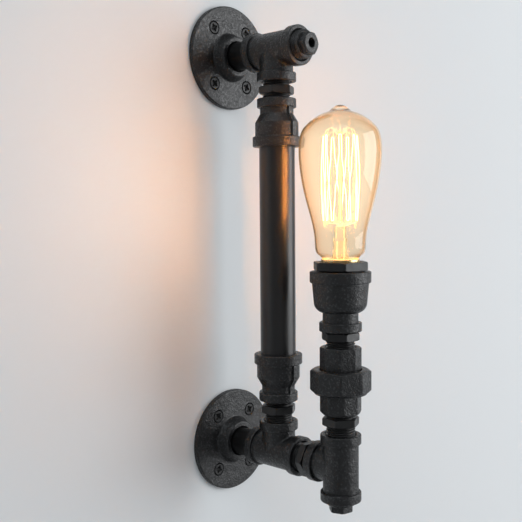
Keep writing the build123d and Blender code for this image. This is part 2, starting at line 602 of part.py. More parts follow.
def bulb_side(inset):
    """The side of the glass from the neck to the crown, moved inwards by inset along its own normals."""
    points = [(BULB_NECK_R, BULB_NECK_TOP), *BULB_SIDE]
    moved = [(BULB_NECK_R - inset, BULB_NECK_TOP)]
    for (r0, z0), (r, z), (r1, z1) in zip(points, points[1:], points[2:]):
        length = math.hypot(r1 - r0, z1 - z0)
        moved.append((r - inset * (z1 - z0) / length, z + inset * (r1 - r0) / length))
    radius = BULB_CROWN_R - inset
    shoulder, tangent = crown_point(radius, BULB_SIDE[-1][0] * radius / BULB_CROWN_R)
    return smooth((0, 1), *moved, shoulder, tangent), shoulder


def bulb_glass():
    """Blown glass: pear-shaped shell of even wall with a round crown, drawn up into a solid pip."""
    outer_side, shoulder = bulb_side(0)
    pip_foot, foot_tangent = crown_point(BULB_CROWN_R, BULB_PIP_R)
    crown_middle = crown_point(BULB_CROWN_R, (shoulder[0] + BULB_PIP_R) / 2)[0]
    bottom = -BULB_NECK_LENGTH
    outer = turned_from(Line((0, bottom), (BULB_NECK_R, bottom)),
                        Line((BULB_NECK_R, bottom), (BULB_NECK_R, BULB_NECK_TOP)), outer_side,
                        ThreePointArc(shoulder, crown_middle, pip_foot),
                        smooth(foot_tangent, pip_foot, BULB_PIP_SIDE, (0, BULB_HEIGHT), (-1, 0)),
                        Line((0, BULB_HEIGHT), (0, bottom)))
    inner_r, inner_crown_r = BULB_NECK_R - BULB_GLASS_WALL, BULB_CROWN_R - BULB_GLASS_WALL
    inner_side, shoulder = bulb_side(BULB_GLASS_WALL)
    crown_middle = crown_point(inner_crown_r, shoulder[0] / 2)[0]
    crown_top = crown_point(inner_crown_r, 0)[0]
    below = bottom - CUT
    inner = turned_from(Line((0, below), (inner_r, below)), Line((inner_r, below), (inner_r, BULB_NECK_TOP)),
                        inner_side, ThreePointArc(shoulder, crown_middle, crown_top),
                        Line(crown_top, (0, below)))
    return outer - inner


def cap_shell():
    """Brass screw cap: rim, threaded wall and a floor with the hole for the insulator."""
    taper_top, step_top, neck_r = CAP_TAPER - CAP_LENGTH, CAP_RIM_STEP - CAP_RIM, BULB_NECK_R + THREAD_FIT
    outer = turned((0, -CAP_LENGTH), (CAP_FLOOR_R, -CAP_LENGTH), (CAP_R, taper_top), (CAP_R, -CAP_RIM),
                   (CAP_RIM_R, step_top), (CAP_RIM_R, 0), (0, 0))
    inner = turned((0, CAP_WALL - CAP_LENGTH), (CAP_FLOOR_R - CAP_WALL, CAP_WALL - CAP_LENGTH),
                   (CAP_R - CAP_WALL, taper_top), (CAP_R - CAP_WALL, -CAP_RIM), (neck_r, step_top),
                   (neck_r, CUT), (0, CUT))
    return outer - inner - rod(CAP_FLOOR_HOLE_R, -CAP_LENGTH - CUT, CUT - CAP_LENGTH)


def cap_insulator():
    """Black glass cone under the cap, with the hole for the lead to the contact."""
    bottom = -CAP_LENGTH - INSULATOR_HEIGHT
    body = turned((0, bottom), (INSULATOR_TIP_R, bottom), (INSULATOR_R, -CAP_LENGTH - INSULATOR_EDGE),
                  (INSULATOR_R, -CAP_LENGTH), (0, -CAP_LENGTH))
    return body - rod(LEAD_R + LEAD_FIT, bottom - CUT, CUT - CAP_LENGTH)


def cap_contact():
    """Rounded solder contact under the insulator."""
    top = -CAP_LENGTH - INSULATOR_HEIGHT
    body = rod(CAP_CONTACT_R, top - CAP_CONTACT_HEIGHT, top)
    return fillet(body.edges().sort_by(Axis.Z)[:1], CAP_CONTACT_ROUND)


def bulb_stem():
    """Glass stem: flare in the neck, tube, flattened pinch, and the rod that carries both wire hubs."""
    flare_r, cavity_r = BULB_NECK_R - BULB_GLASS_WALL - STEM_FLARE_GAP, STEM_TUBE_R - STEM_WALL
    flare = turned((0, STEM_FLARE_BOTTOM), (flare_r, STEM_FLARE_BOTTOM), STEM_FLARE_BEND,
                   (STEM_TUBE_R, STEM_FLARE_TOP), (STEM_TUBE_R, STEM_TUBE_TOP), (0, STEM_TUBE_TOP))
    inside = turned((0, STEM_CAVITY_BOTTOM[1]), STEM_CAVITY_BOTTOM, STEM_CAVITY_BEND,
                    (cavity_r, STEM_FLARE_TOP), (cavity_r, STEM_CAVITY_TOP), (0, STEM_CAVITY_TOP))
    pinch = Pos(0, 0, STEM_TUBE_TOP) * Box(*PINCH_SIZE, PINCH_HEIGHT,
                                           align=(Align.CENTER, Align.CENTER, Align.MIN))
    pinch = fillet(pinch.edges().filter_by(Axis.Z), PINCH_ROUND)
    body = flare - inside + pinch + rod(ROD_R, STEM_TUBE_TOP, HUB_HEIGHT)
    for height in (LOWER_HUB_HEIGHT, HUB_HEIGHT):
        body += Pos(0, 0, height) * Sphere(HUB_R)
    for side in (-1, 1):
        body -= Pos(0, side * LEAD_OFFSET, 0) * rod(LEAD_R + LEAD_FIT, STEM_TUBE_TOP - LEAD_SEAL,
                                                    STEM_TUBE_TOP + PINCH_HEIGHT + CUT)
    return body


def wire(radius, *points):
    """Round wire through the points, one straight length after another with round corners."""
    path = Polyline(*points)
    start = Plane(origin=path @ 0, z_dir=path % 0)
    return sweep(start * Circle(radius), path, transition=Transition.ROUND)


def cage_point(index, height):
    angle = 2 * math.pi * index / CAGE_STRANDS
    return (CAGE_R * math.cos(angle), CAGE_R * math.sin(angle), height)


def filament():
    """Squirrel-cage filament: one wire up and down between the upper and lower hooks, open at one strand."""
    points = []
    for index in range(CAGE_STRANDS):
        ends = (CAGE_BOTTOM, CAGE_TOP) if index % 2 == 0 else (CAGE_TOP, CAGE_BOTTOM)
        points += [cage_point(index, height) for height in ends]
    return wire(FILAMENT_R, *points)


def supports(hub_height, hook_height, first, bends):
    """Hook wires fanned out from a hub to the turns of the filament between neighbouring strands."""
    flat_r = CAGE_R * math.cos(math.pi / CAGE_STRANDS) - FILAMENT_R - SUPPORT_R - LEAD_FIT
    bent = [(flat_r * share, hub_height + rise) for share, rise in bends]
    reach = ((HUB_R - SUPPORT_ROOT, hub_height), *bent, (flat_r, hook_height))
    hooks = []
    for index in range(first, CAGE_STRANDS - 1, 2):
        angle = 2 * math.pi * (index + 0.5) / CAGE_STRANDS
        hook = wire(SUPPORT_R, *[(r * math.cos(angle), r * math.sin(angle), z) for r, z in reach])
        hooks.append(hook - Pos(0, 0, hub_height) * Sphere(HUB_R))
    return hooks


def lead_wires():
    """Two leads: from the contact and from the cap's wall, up the stem, out to the filament's two ends."""
    pinch_top = STEM_TUBE_TOP + PINCH_HEIGHT
    (wall_z, neutral_z), (leave_z, live_z) = NEUTRAL_LEAD_BENDS, LIVE_LEAD_BENDS
    starts = {1: [(0, CAP_R - CAP_WALL - LEAD_R - LEAD_FIT, wall_z), (0, LEAD_OFFSET, neutral_z)],
              -1: [(0, 0, -CAP_LENGTH - INSULATOR_HEIGHT), (0, 0, leave_z), (0, -LEAD_OFFSET, live_z)]}
    leads = []
    for side, strand in ((1, 0), (-1, CAGE_STRANDS - 1)):
        x, y, end = cage_point(strand, CAGE_BOTTOM)
        route = [*starts[side], (0, side * LEAD_OFFSET, pinch_top + LEAD_TURN), (x, y, end - LEAD_RISE),
                 (x, y, end - LEAD_FIT)]
        leads.append(wire(LEAD_R, *route))
    return leads


# ---------------------------------------------------------------- cable
def lower_cable():
    """Round sheathed cable along the arm, bent up inside the lamp tee to the union's seat face."""
    path = FilletPolyline((0, -CABLE_START, 0), (0, -LAMP_OFFSET, 0), (0, -LAMP_OFFSET, seat_face_z),
                          radius=CABLE_BEND_R)
    section = Plane(origin=(0, -CABLE_START, 0), z_dir=(0, -1, 0)) * Circle(CABLE_R)
    return sweep(section, path)


def core(start, end, bend_z, end_z):
    """Insulated core from the sheath's end to its terminal, stepping sideways up to the height bend_z."""
    (x0, y0), (x1, y1) = start, end
    return wire(CORE_R, (x0, y0, sheath_top_z), (x0, y0, sheath_top_z + CORE_STRAIGHT), (x1, y1, bend_z),
                (x1, y1, end_z))


# ---------------------------------------------------------------- assembly
parts = {}

equal_tee = tee()
socket = reducing_socket()
stub_length = RISER_OFFSET - TEE_REACH + THREAD_ENGAGE - STUB_SETBACK

for name, height in (("lower", 0), ("upper", FLANGE_SPACING)):
    parts[name + "_wall_flange"] = outwards(height, wall_flange())
    parts[name + "_flange_screws"] = outwards(height, wall_screws())
    parts[name + "_stub_pipe"] = outwards(height, Pos(0, 0, STUB_SETBACK) * threaded_pipe(stub_length))

parts["lower_tee"] = on_riser(Rot(90, 0, 0) * equal_tee)
parts["upper_tee"] = on_riser(Pos(0, 0, FLANGE_SPACING) * Rot(-90, 0, 0) * equal_tee)
parts["upper_tee_plug"] = outwards(FLANGE_SPACING, Pos(0, 0, RISER_OFFSET + TEE_REACH) * plug(*UPPER_PLUG))
parts["lower_riser_nipple"] = on_riser(Pos(0, 0, TEE_REACH) * hex_nipple(*LOWER_NIPPLE))
parts["upper_riser_nipple"] = on_riser(Pos(0, 0, upper_socket_z) * hex_nipple(*UPPER_NIPPLE))
parts["lower_reducing_socket"] = on_riser(Pos(0, 0, lower_socket_z) * socket)
parts["upper_reducing_socket"] = on_riser(Pos(0, 0, upper_socket_z) * Rot(180, 0, 0) * socket)
riser_body = (rod(RISER_THREAD_R, riser_bottom_z - RISER_ENGAGE, riser_top_z + RISER_ENGAGE)
              + rod(RISER_R, riser_bottom_z, riser_top_z))
parts["riser_pipe"] = on_riser(riser_body - rod(RISER_BORE_R, 0, FLANGE_SPACING))
arm_above = arm_gap - NIPPLE_HEX - ARM_NIPPLE_SHOWN
parts["arm_nipple"] = outwards(0, Pos(0, 0, RISER_OFFSET + TEE_REACH)
                               * hex_nipple(ARM_NIPPLE_TURN, ARM_NIPPLE_SHOWN, arm_above))
parts["lamp_tee"] = on_lamp(equal_tee)
parts["lamp_tee_plug"] = on_lamp(Pos(0, 0, -TEE_REACH) * Rot(180, 0, 0) * plug(*LOWER_PLUG))
parts["union_nipple"] = on_lamp(Pos(0, 0, TEE_REACH) * hex_nipple(*UNION_NIPPLE))
parts["union_seat_body"] = on_lamp(Pos(0, 0, seat_z) * union_seat())
parts["union_gasket"] = on_lamp(tube(GASKET_R, WATERWAY_R, seat_face_z, tail_z))
parts["union_nut"] = on_lamp(union_nut())
parts["union_tail_body"] = on_lamp(Pos(0, 0, tail_z) * union_tail())
parts["cup_nipple"] = on_lamp(Pos(0, 0, tail_top_z) * hex_nipple(*CUP_NIPPLE))
parts["lamp_cup"] = on_lamp(Pos(0, 0, cup_z) * lamp_cup())
parts["lampholder_bush"] = on_lamp(lampholder_bush())
parts["lampholder_base"] = on_lamp(ceramic_base())
sleeve_r = BUSH_BORE_R - SLEEVE_FIT
parts["lampholder_sleeve"] = on_lamp(tube(sleeve_r, sleeve_r - SLEEVE_WALL, ceramic_top_z,
                                          shell_top_z + SLEEVE_RISE))
parts["lampholder_screw_shell"] = on_lamp(screw_shell())
parts["lampholder_centre_contact"] = on_lamp(centre_contact())
parts["lampholder_terminals"] = terminals()
parts["lampholder_terminal_screws"] = terminal_screws()
parts["earth_screw"] = on_lamp(earth_screw())
parts["earth_lug"] = on_lamp(earth_lug())

parts["supply_cable_lower"] = lower_cable()
parts["supply_cable_upper"] = on_lamp(rod(CABLE_R, seat_face_z, sheath_top_z))
terminal_z = cup_floor_z - TERMINAL_HEIGHT
bend_z = terminal_z - CORE_LAST_STRAIGHT
parts["live_core"] = on_lamp(core(core_places[0], (TERMINAL_OFFSET, 0), bend_z, terminal_z))
parts["neutral_core"] = on_lamp(core(core_places[1], (-TERMINAL_OFFSET, 0), bend_z, terminal_z))
parts["earth_core"] = on_lamp(core(core_places[2], (0, earth_core_offset), terminal_z, cup_floor_z))
ferrule_end = TAIL_START + FERRULE_LENGTH
for name, (x, z) in zip(("live", "neutral", "earth"), core_places):
    parts[name + "_wall_tail"] = outwards(0, Pos(x, z, 0) * rod(CORE_R, ferrule_end, CABLE_START))
ferrules = [Pos(x, z, 0) * rod(FERRULE_R, TAIL_START, ferrule_end) for x, z in core_places]
parts["wall_ferrules"] = Compound(children=[outwards(0, ferrule) for ferrule in ferrules])


def on_cap(part):
    return on_lamp(Pos(0, 0, cap_rim_z) * part)


parts["bulb_glass"] = on_cap(bulb_glass())
parts["bulb_cap_shell"] = on_cap(cap_shell())
parts["bulb_cap_insulator"] = on_cap(cap_insulator())
parts["bulb_cap_contact"] = on_cap(cap_contact())
parts["bulb_stem"] = on_cap(bulb_stem())
parts["bulb_filament"] = on_cap(filament())
parts["bulb_upper_supports"] = Compound(
    children=[on_cap(hook) for hook in supports(HUB_HEIGHT, CAGE_TOP, 0, UPPER_BENDS)])
parts["bulb_lower_supports"] = Compound(
    children=[on_cap(hook) for hook in supports(LOWER_HUB_HEIGHT, CAGE_BOTTOM, 1, LOWER_BENDS)])
parts["bulb_lead_wires"] = Compound(children=[on_cap(lead) for lead in lead_wires()])

os.makedirs("parts", exist_ok=True)
for name, part in parts.items():
    export_step(part, f"parts/{name}.step")
print(len(parts), "nodes")
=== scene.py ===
"""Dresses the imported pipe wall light: threads, spanner faces, screws, bulb, paints, stage, camera.

Sizes are in metres.  A turned piece is given by its profile: rows of (radius, height) on the
piece's own axis, with a pair for each angle round it, so that a row need not be round.
"""
import json
import math

import bpy
import numpy as np
from mathutils import Matrix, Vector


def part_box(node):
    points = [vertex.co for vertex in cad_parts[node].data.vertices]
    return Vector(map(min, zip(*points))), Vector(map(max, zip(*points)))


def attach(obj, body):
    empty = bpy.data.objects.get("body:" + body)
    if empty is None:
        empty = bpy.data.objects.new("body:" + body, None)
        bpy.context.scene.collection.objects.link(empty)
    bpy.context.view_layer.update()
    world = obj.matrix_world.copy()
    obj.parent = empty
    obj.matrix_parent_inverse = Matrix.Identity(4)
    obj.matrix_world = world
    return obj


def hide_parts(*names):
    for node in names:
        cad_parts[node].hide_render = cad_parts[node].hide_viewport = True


bl_info = {
    "name": "Pipe Wall Light",
    "version": (1, 0, 0),
    "blender": (4, 5, 0),
    "location": "3D View > Sidebar > Pipe Light",
    "description": "Builds the finish of a pipe wall light around its packed frame",
    "category": "Object",
}

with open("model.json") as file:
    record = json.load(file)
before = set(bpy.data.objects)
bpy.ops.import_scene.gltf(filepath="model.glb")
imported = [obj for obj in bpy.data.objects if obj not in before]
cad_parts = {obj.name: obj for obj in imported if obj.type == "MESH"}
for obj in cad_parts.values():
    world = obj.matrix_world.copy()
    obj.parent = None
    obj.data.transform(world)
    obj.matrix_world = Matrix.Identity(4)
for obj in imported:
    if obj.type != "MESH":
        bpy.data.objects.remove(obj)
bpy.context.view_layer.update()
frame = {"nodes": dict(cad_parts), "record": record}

MM = 0.001


def node_centre(name):
    """Middle of a node's box, in metres."""
    low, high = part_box(name)
    return (low + high) / 2


def node_heights(name):
    """Lowest and highest Z of a node's box, in metres."""
    low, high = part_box(name)
    return low[2], high[2]


LAMP_AXIS = node_centre("lamp_cup")
UPPER_FLANGE_Z = node_centre("upper_wall_flange")[2]


# ---------------------------------------------------------------- sizes and colours to change
def length(label, about, value):
    """A size of zero or more, in metres."""
    return bpy.props.FloatProperty(name=label, description=about, default=value, min=0.0,
                                   precision=5, unit="LENGTH", subtype="DISTANCE")


def number(label, about, value):
    """A level of zero or more, without a unit."""
    return bpy.props.FloatProperty(name=label, description=about, default=value, min=0.0)


def angle(label, about, degrees):
    """An angle, written here in degrees and kept in radians."""
    return bpy.props.FloatProperty(name=label, description=about, default=math.radians(degrees),
                                   subtype="ANGLE", unit="ROTATION")


def colour(label, about, value):
    """A colour of red, green and blue from 0 to 1."""
    return bpy.props.FloatVectorProperty(name=label, description=about, default=value,
                                         min=0.0, max=1.0, size=3, subtype="COLOR")


def count(label, about, value):
    """A whole number of one or more."""
    return bpy.props.IntProperty(name=label, description=about, default=value, min=1)


class ThreadSizes(bpy.types.PropertyGroup):
    """Threads of the half inch pipe, the bulb's cap and the wall screws"""
    crest: length("Thread radius", "Half inch pipe thread over its crests", 10.45 * MM)
    pitch: length("Thread pitch", "Half inch pipe thread, turn to turn", 1.814 * MM)
    depth: length("Thread depth", "Crest to root", 1.05 * MM)
    engaged: length("Engaged length", "Thread that is screwed into a fitting", 12.0 * MM)
    inside: length("Threaded start", "How far inside a mouth the turns of thread begin", 2.4 * MM)
    bore: length("Nipple bore", "Radius of the hole through a nipple", 7.6 * MM)
    cap_pitch: length("Cap pitch", "Turn to turn of the bulb cap's rounded thread", 3.629 * MM)
    cap_depth: length("Cap thread depth", "Crest to root of the bulb cap's thread", 1.05 * MM)
    screw_pitch: length("Screw pitch", "Turn to turn of the wall screws' thread", 1.7 * MM)
    screw_root: length("Screw core", "Radius of a wall screw at the root of its thread", 1.45 * MM)


class SpannerSizes(bpy.types.PropertyGroup):
    """Pieces that a spanner turns"""
    nipple_flats: length("Nipple flats", "Across the flats of a nipple's hexagon", 23.9 * MM)
    nipple_hexagon: length("Nipple hexagon", "Thickness of a nipple's hexagon", 5.6 * MM)
    plug_flats: length("Plug flats", "Across the flats of a plug's head", 15.4 * MM)
    plug_head: length("Plug head", "Thickness of a plug's head", 5.2 * MM)
    plug_hole: length("Plug hole", "Radius of the blind hole in a plug's head", 3.4 * MM)
    plug_hole_depth: length("Plug hole depth", "Depth of the hole in a plug's head", 6.5 * MM)
    union_flats: length("Union flats", "Across the flats of the union's two bodies", 27.8 * MM)
    nut_flats: length("Nut flats", "Across the flats of the union nut", 40.8 * MM)
    bush_flats: length("Bush flats", "Across the flats of the lampholder bush", 35.8 * MM)
    edge: length("Edge softness", "Radius worn on the edges of spanner faces", 0.32 * MM)
    columns: count("Columns", "Points round a piece that has spanner faces", 240)


class PaintColours(bpy.types.PropertyGroup):
    """Black paints of the iron and steel, and the grain of the castings"""
    cast: colour("Cast paint", "Matt black paint on cast iron", (0.0032, 0.0034, 0.0038))
    # pale paint on worn edges and grain; on edges it is also a painted highlight
    cast_worn_and_highlight: colour("Worn cast paint", "The same paint where it is thin, on edges and grain",
                      (0.115, 0.118, 0.125))
    pipe: colour("Pipe paint", "Satin black paint on drawn pipe", (0.0026, 0.0026, 0.0028))
    # pale paint of scuffs and worn edges; on edges it is also a painted highlight
    pipe_worn_and_highlight: colour("Worn pipe paint", "The same paint rubbed thin", (0.030, 0.030, 0.032))
    turned: colour("Turned paint", "Black paint on threads and hexagons", (0.0034, 0.0035, 0.0038))
    # pale paint on crests and corners: partly wear, partly a painted highlight
    turned_worn_and_highlight: colour("Worn turned paint", "The same paint on crests and corners",
                        (0.12, 0.12, 0.125))
    grain: length("Grain size", "Size of the sand-cast grain", 1.55 * MM)
    grain_depth: length("Grain depth", "Height of the sand-cast grain", 0.34 * MM)


class BulbLooks(bpy.types.PropertyGroup):
    """Glass and filament of the bulb"""
    glass: colour("Glass tint", "Tint of the glass, seen straight through", (0.98, 0.90, 0.76))
    rim: colour("Rim tint", "Amber of the glass, seen through its edge", (0.92, 0.50, 0.22))
    # painted glow: the glass is given warm light of its own, though it is no lamp
    glow: colour("Glow", "Warm light that the lit glass scatters", (1.0, 0.74, 0.42))
    glow_strength: number("Glow strength", "How much warm light the lit glass scatters", 0.07)
    # painted glow gathered at the glass's neck
    neck: colour("Neck glow", "Light that the glass gathers at its neck", (1.0, 0.42, 0.08))
    neck_strength: number("Neck strength", "How much light the glass gathers at its neck", 0.75)
    filament: colour("Filament", "Colour of the glowing carbon", (1.0, 0.37, 0.08))
    filament_strength: number("Filament strength", "Brightness of the glowing carbon", 115.0)
    filament_radius: length("Filament radius", "Thickness of the carbon wire", 0.27 * MM)
    cage_radius: length("Cage radius", "Bulb axis to the filament's strands", 12.5 * MM)
    strands: count("Strands", "Upright strands of the squirrel cage", 14)
    sway: length("Sway", "How far a hot strand bows out of line", 0.9 * MM)
    turn_radius: length("Turn radius", "Radius of the filament's turns round the hooks", 0.9 * MM)


class StageLooks(bpy.types.PropertyGroup):
    """Wall, floor, light and camera"""
    wall: colour("Wall", "Plain pale wall", (0.74, 0.76, 0.77))
    floor: colour("Floor", "Plain pale floor", (0.50, 0.505, 0.51))
    sky: number("Room light", "Level of the even light from the whole room", 0.30)
    room: colour("Room tint", "Colour of the even light from the whole room", (0.93, 0.96, 1.0))
    key: number("Key light", "Power of the tall soft lamp at the right", 47.0)
    key_tint: colour("Key tint", "Colour of the lamp at the right", (0.97, 0.985, 1.0))
    fill: number("Fill light", "Power of the soft lamp at the upper left", 16.0)
    fill_tint: colour("Fill tint", "Colour of the lamp at the upper left", (0.92, 0.97, 1.0))
    lens: length("Lens", "Focal length of the camera", 57.51 * MM)
    turn: angle("Turn", "Direction the camera looks in, from straight at the wall", -45.87)
    tilt: angle("Tilt", "How far the camera looks up", -3.38)
    roll: angle("Roll", "How far the camera leans", -0.44)
    place: bpy.props.FloatVectorProperty(name="Camera place", description="Where the camera stands",
                                         default=(-0.4631, -0.4848, 0.1837), size=3,
                                         subtype="TRANSLATION", unit="LENGTH")


# ---------------------------------------------------------------- materials
MATERIALS = {}
FLAT_COSINE = 0.995  # between a bevelled normal and the true one, where an edge gets neither wear nor painted highlight
FULL_EDGE_COSINE = 0.86  # the same on an edge that is fully worn and carries the full painted highlight


def shader(name):
    """A new material, its node tree, and its main shader."""
    material = bpy.data.materials.new(name)
    material.use_nodes = True
    tree = material.node_tree
    return material, tree, next(n for n in tree.nodes if n.type == "BSDF_PRINCIPLED")


def set_inputs(tree, node, values):
    """Give a node's inputs their values by name or number; a socket given as a value is linked."""
    for key, value in values.items():
        if isinstance(value, bpy.types.NodeSocket):
            tree.links.new(value, node.inputs[key])
        else:
            node.inputs[key].default_value = value


def add_node(tree, kind, values, **settings):
    """Add a node with its settings and the values of its inputs."""
    made = tree.nodes.new(kind)
    for key, value in settings.items():
        setattr(made, key, value)
    set_inputs(tree, made, values)
    return made


def object_place(tree, stretch=(1, 1, 1)):
    """Object coordinates times a stretch; under 1 along an axis draws a pattern out along it."""
    place = add_node(tree, "ShaderNodeTexCoord", {}).outputs["Object"]
    return add_node(tree, "ShaderNodeMapping", {"Vector": place, "Scale": stretch}).outputs[0]


def noise(tree, place, size, detail=3.0, roughness=0.6):
    """Soft noise whose features are about the given size in metres, from 0 to 1."""
    values = {"Vector": place, "Scale": 1 / size, "Detail": detail, "Roughness": roughness}
    return add_node(tree, "ShaderNodeTexNoise", values).outputs["Fac"]


def pits(tree, place, size):
    """Rounded cells about the given size in metres: 0 at their middles."""
    values = {"Vector": place, "Scale": 1 / size}
    return add_node(tree, "ShaderNodeTexVoronoi", values).outputs["Distance"]


def spread(tree, value, given, wanted):
    """Take a value from the given range to the wanted one, softly at both ends."""
    values = {"Value": value, "From Min": given[0], "From Max": given[1],
              "To Min": wanted[0], "To Max": wanted[1]}
    made = add_node(tree, "ShaderNodeMapRange", values, interpolation_type="SMOOTHSTEP")
    return made.outputs["Result"]


def arithmetic(tree, operation, *values):
    """Result of one operation on one, two or three values."""
    made = add_node(tree, "ShaderNodeMath", dict(enumerate(values)), operation=operation)
    return made.outputs[0]


def blended(tree, share, first, second):
    """Colour between two colours, by the second one's share."""
    mix = add_node(tree, "ShaderNodeMix", {0: share}, data_type="RGBA")
    set_inputs(tree, mix, {6: (*first, 1), 7: (*second, 1)})
    return mix.outputs[2]


def edge_wear_and_highlight(tree, radius):
    """1 on edges tighter than the radius, 0 on flats: how far a bevelled normal leans; it pales
    edges as wear and as a painted highlight.
    """
    soft = add_node(tree, "ShaderNodeBevel", {"Radius": radius}, samples=4).outputs["Normal"]
    true = add_node(tree, "ShaderNodeNewGeometry", {}).outputs["Normal"]
    same = add_node(tree, "ShaderNodeVectorMath", {0: soft, 1: true}, operation="DOT_PRODUCT")
    return spread(tree, same.outputs["Value"], (FLAT_COSINE, FULL_EDGE_COSINE), (0.0, 1.0))


def bump(tree, height, distance, strength=1.0, under=None):
    """Normal of a rough skin of the given height, over that of another skin if there is one."""
    values = {"Height": height, "Distance": distance, "Strength": strength}
    if under is not None:
        values["Normal"] = under
    return add_node(tree, "ShaderNodeBump", values).outputs["Normal"]


def cast_paint(name, paint, worn, grain, grain_depth):
    """Matt black paint over sand-cast iron.

    Its height is the fine grain plus a share of rounded cells, over shallow waves.  It is pale on
    high grain and, in broad blotches, on edges, where the paleness is partly worn paint and partly a
    painted highlight; it is glossier the higher the grain stands.
    """
    cell_size, wave_size, blotch_size = grain * 0.75, grain * 7, grain * 25
    cell_share, wave_depth, edge_radius = 0.55, grain_depth * 2.4, 0.55 * MM
    material, tree, main = shader(name)
    place = object_place(tree)
    fine = noise(tree, place, grain, 2.5, 0.55)
    cells = pits(tree, place, cell_size)
    waves = noise(tree, place, wave_size, 2.0)
    blotches = noise(tree, place, blotch_size)
    height = arithmetic(tree, "MULTIPLY_ADD", cells, cell_share, fine)
    # pale edges in broad blotches: partly worn paint, partly a painted highlight
    worn_and_highlit = arithmetic(tree, "MULTIPLY", edge_wear_and_highlight(tree, edge_radius),
                        spread(tree, blotches, (0.30, 0.62), (0.25, 0.9)))
    high_grain = spread(tree, fine, (0.54, 0.68), (0.0, 0.30))
    # paleness of worn edges with their painted highlight, and of high grain
    pale_share = arithmetic(tree, "MAXIMUM", worn_and_highlit, high_grain)
    set_inputs(tree, main, {
        "Base Color": blended(tree, pale_share, paint, worn),
        "Roughness": spread(tree, fine, (0.36, 0.66), (0.50, 0.29)),
        "Specular IOR Level": 0.52,
        "Normal": bump(tree, height, grain_depth, under=bump(tree, waves, wave_depth)),
    })
    return material


def pipe_paint(name, paint, worn, along="Z"):
    """Satin black paint on drawn pipe: faint lengthways drawing lines under a light orange peel."""
    line_size, peel_size, blotch_size = 1.1 * MM, 1.6 * MM, 24 * MM
    line_depth, peel_depth, edge_radius, drawn_out = 0.035 * MM, 0.03 * MM, 0.5 * MM, 0.04
    material, tree, main = shader(name)
    stretch = (1, 1, drawn_out) if along == "Z" else (1, drawn_out, 1)
    lines = noise(tree, object_place(tree, stretch), line_size)
    place = object_place(tree)
    peel = noise(tree, place, peel_size, 2.0)
    blotches = noise(tree, place, blotch_size)
    scuffs = arithmetic(tree, "MULTIPLY", spread(tree, lines, (0.62, 0.75), (0.0, 0.35)),
                        spread(tree, blotches, (0.45, 0.7), (0.0, 1.0)))
    # scuffs are wear; the pale edges are partly wear and partly a painted highlight
    worn_and_highlit = arithmetic(tree, "MAXIMUM", scuffs, edge_wear_and_highlight(tree, edge_radius))
    set_inputs(tree, main, {
        "Base Color": blended(tree, worn_and_highlit, paint, worn),
        "Roughness": spread(tree, blotches, (0.3, 0.7), (0.29, 0.38)),
        "Specular IOR Level": 0.58,
        "Normal": bump(tree, peel, peel_depth, under=bump(tree, lines, line_depth)),
    })
    return material


def turned_paint(name, paint, worn, gloss=(0.30, 0.46)):
    """Black paint on turned steel: fine tool marks, and paler in patches on crests and corners, as
    worn paint and as a painted highlight.
    """
    mark_size, mark_depth, blotch_size, edge_radius = 0.55 * MM, 0.045 * MM, 9 * MM, 0.35 * MM
    material, tree, main = shader(name)
    place = object_place(tree)
    marks = noise(tree, place, mark_size)
    blotches = noise(tree, place, blotch_size)
    # pale crests and corners in patches: partly worn paint, partly a painted highlight
    worn_and_highlit = arithmetic(tree, "MULTIPLY", edge_wear_and_highlight(tree, edge_radius),
                        spread(tree, blotches, (0.35, 0.65), (0.15, 0.85)))
    set_inputs(tree, main, {
        "Base Color": blended(tree, worn_and_highlit, paint, worn),
        "Roughness": spread(tree, blotches, (0.3, 0.7), gloss),
        "Specular IOR Level": 0.5,
        "Normal": bump(tree, marks, mark_depth),
    })
    return material


def plain_metal(name, metal, tarnish, grain, gloss, painted_glow=0.0):
    """Bare metal with tarnish in patches and fine drawn lines; the last value is the strength of a
    painted warm glow.
    """
    patch_size, line_depth, squeeze = 6 * MM, 0.02 * MM, (1, 1, 6)
    material, tree, main = shader(name)
    patches = noise(tree, object_place(tree), patch_size, 4.0)
    fine = noise(tree, object_place(tree, squeeze), grain, 2.0)
    tarnished = spread(tree, patches, (0.4, 0.72), (0.0, 0.8))
    set_inputs(tree, main, {
        "Base Color": blended(tree, tarnished, metal, tarnish),
        "Roughness": spread(tree, patches, (0.3, 0.7), gloss),
        "Metallic": 1.0,
        # painted warm glow: emission on metal that is no lamp
        "Emission Color": (1.0, 0.74, 0.42, 1),
        "Emission Strength": painted_glow,
        "Normal": bump(tree, fine, line_depth),
    })
    return material


def plain_solid(name, first, second, size, gloss):
    """Moulded or fired material: two close shades in patches, with a fine skin."""
    skin_size, skin_depth = size / 6, 0.03 * MM
    material, tree, main = shader(name)
    place = object_place(tree)
    patches = noise(tree, place, size, 4.0)
    shade = spread(tree, patches, (0.35, 0.65), (0.0, 1.0))
    set_inputs(tree, main, {
        "Base Color": blended(tree, shade, first, second),
        "Roughness": spread(tree, patches, (0.3, 0.7), gloss),
        "Normal": bump(tree, noise(tree, place, skin_size, 2.0), skin_depth),
    })
    return material


def striped_insulation(name, green, yellow):
    """Insulation of the earth core, green on one side of its middle and yellow on the other."""
    patch_size = 2 * MM
    material, tree, main = shader(name)
    place = object_place(tree)
    across = add_node(tree, "ShaderNodeSeparateXYZ", {"Vector": place}).outputs[0]
    stripe = arithmetic(tree, "GREATER_THAN", across, 0.0)
    patches = noise(tree, place, patch_size)
    set_inputs(tree, main, {
        "Base Color": blended(tree, stripe, green, yellow),
        "Roughness": spread(tree, patches, (0.3, 0.7), (0.35, 0.5)),
    })
    return material


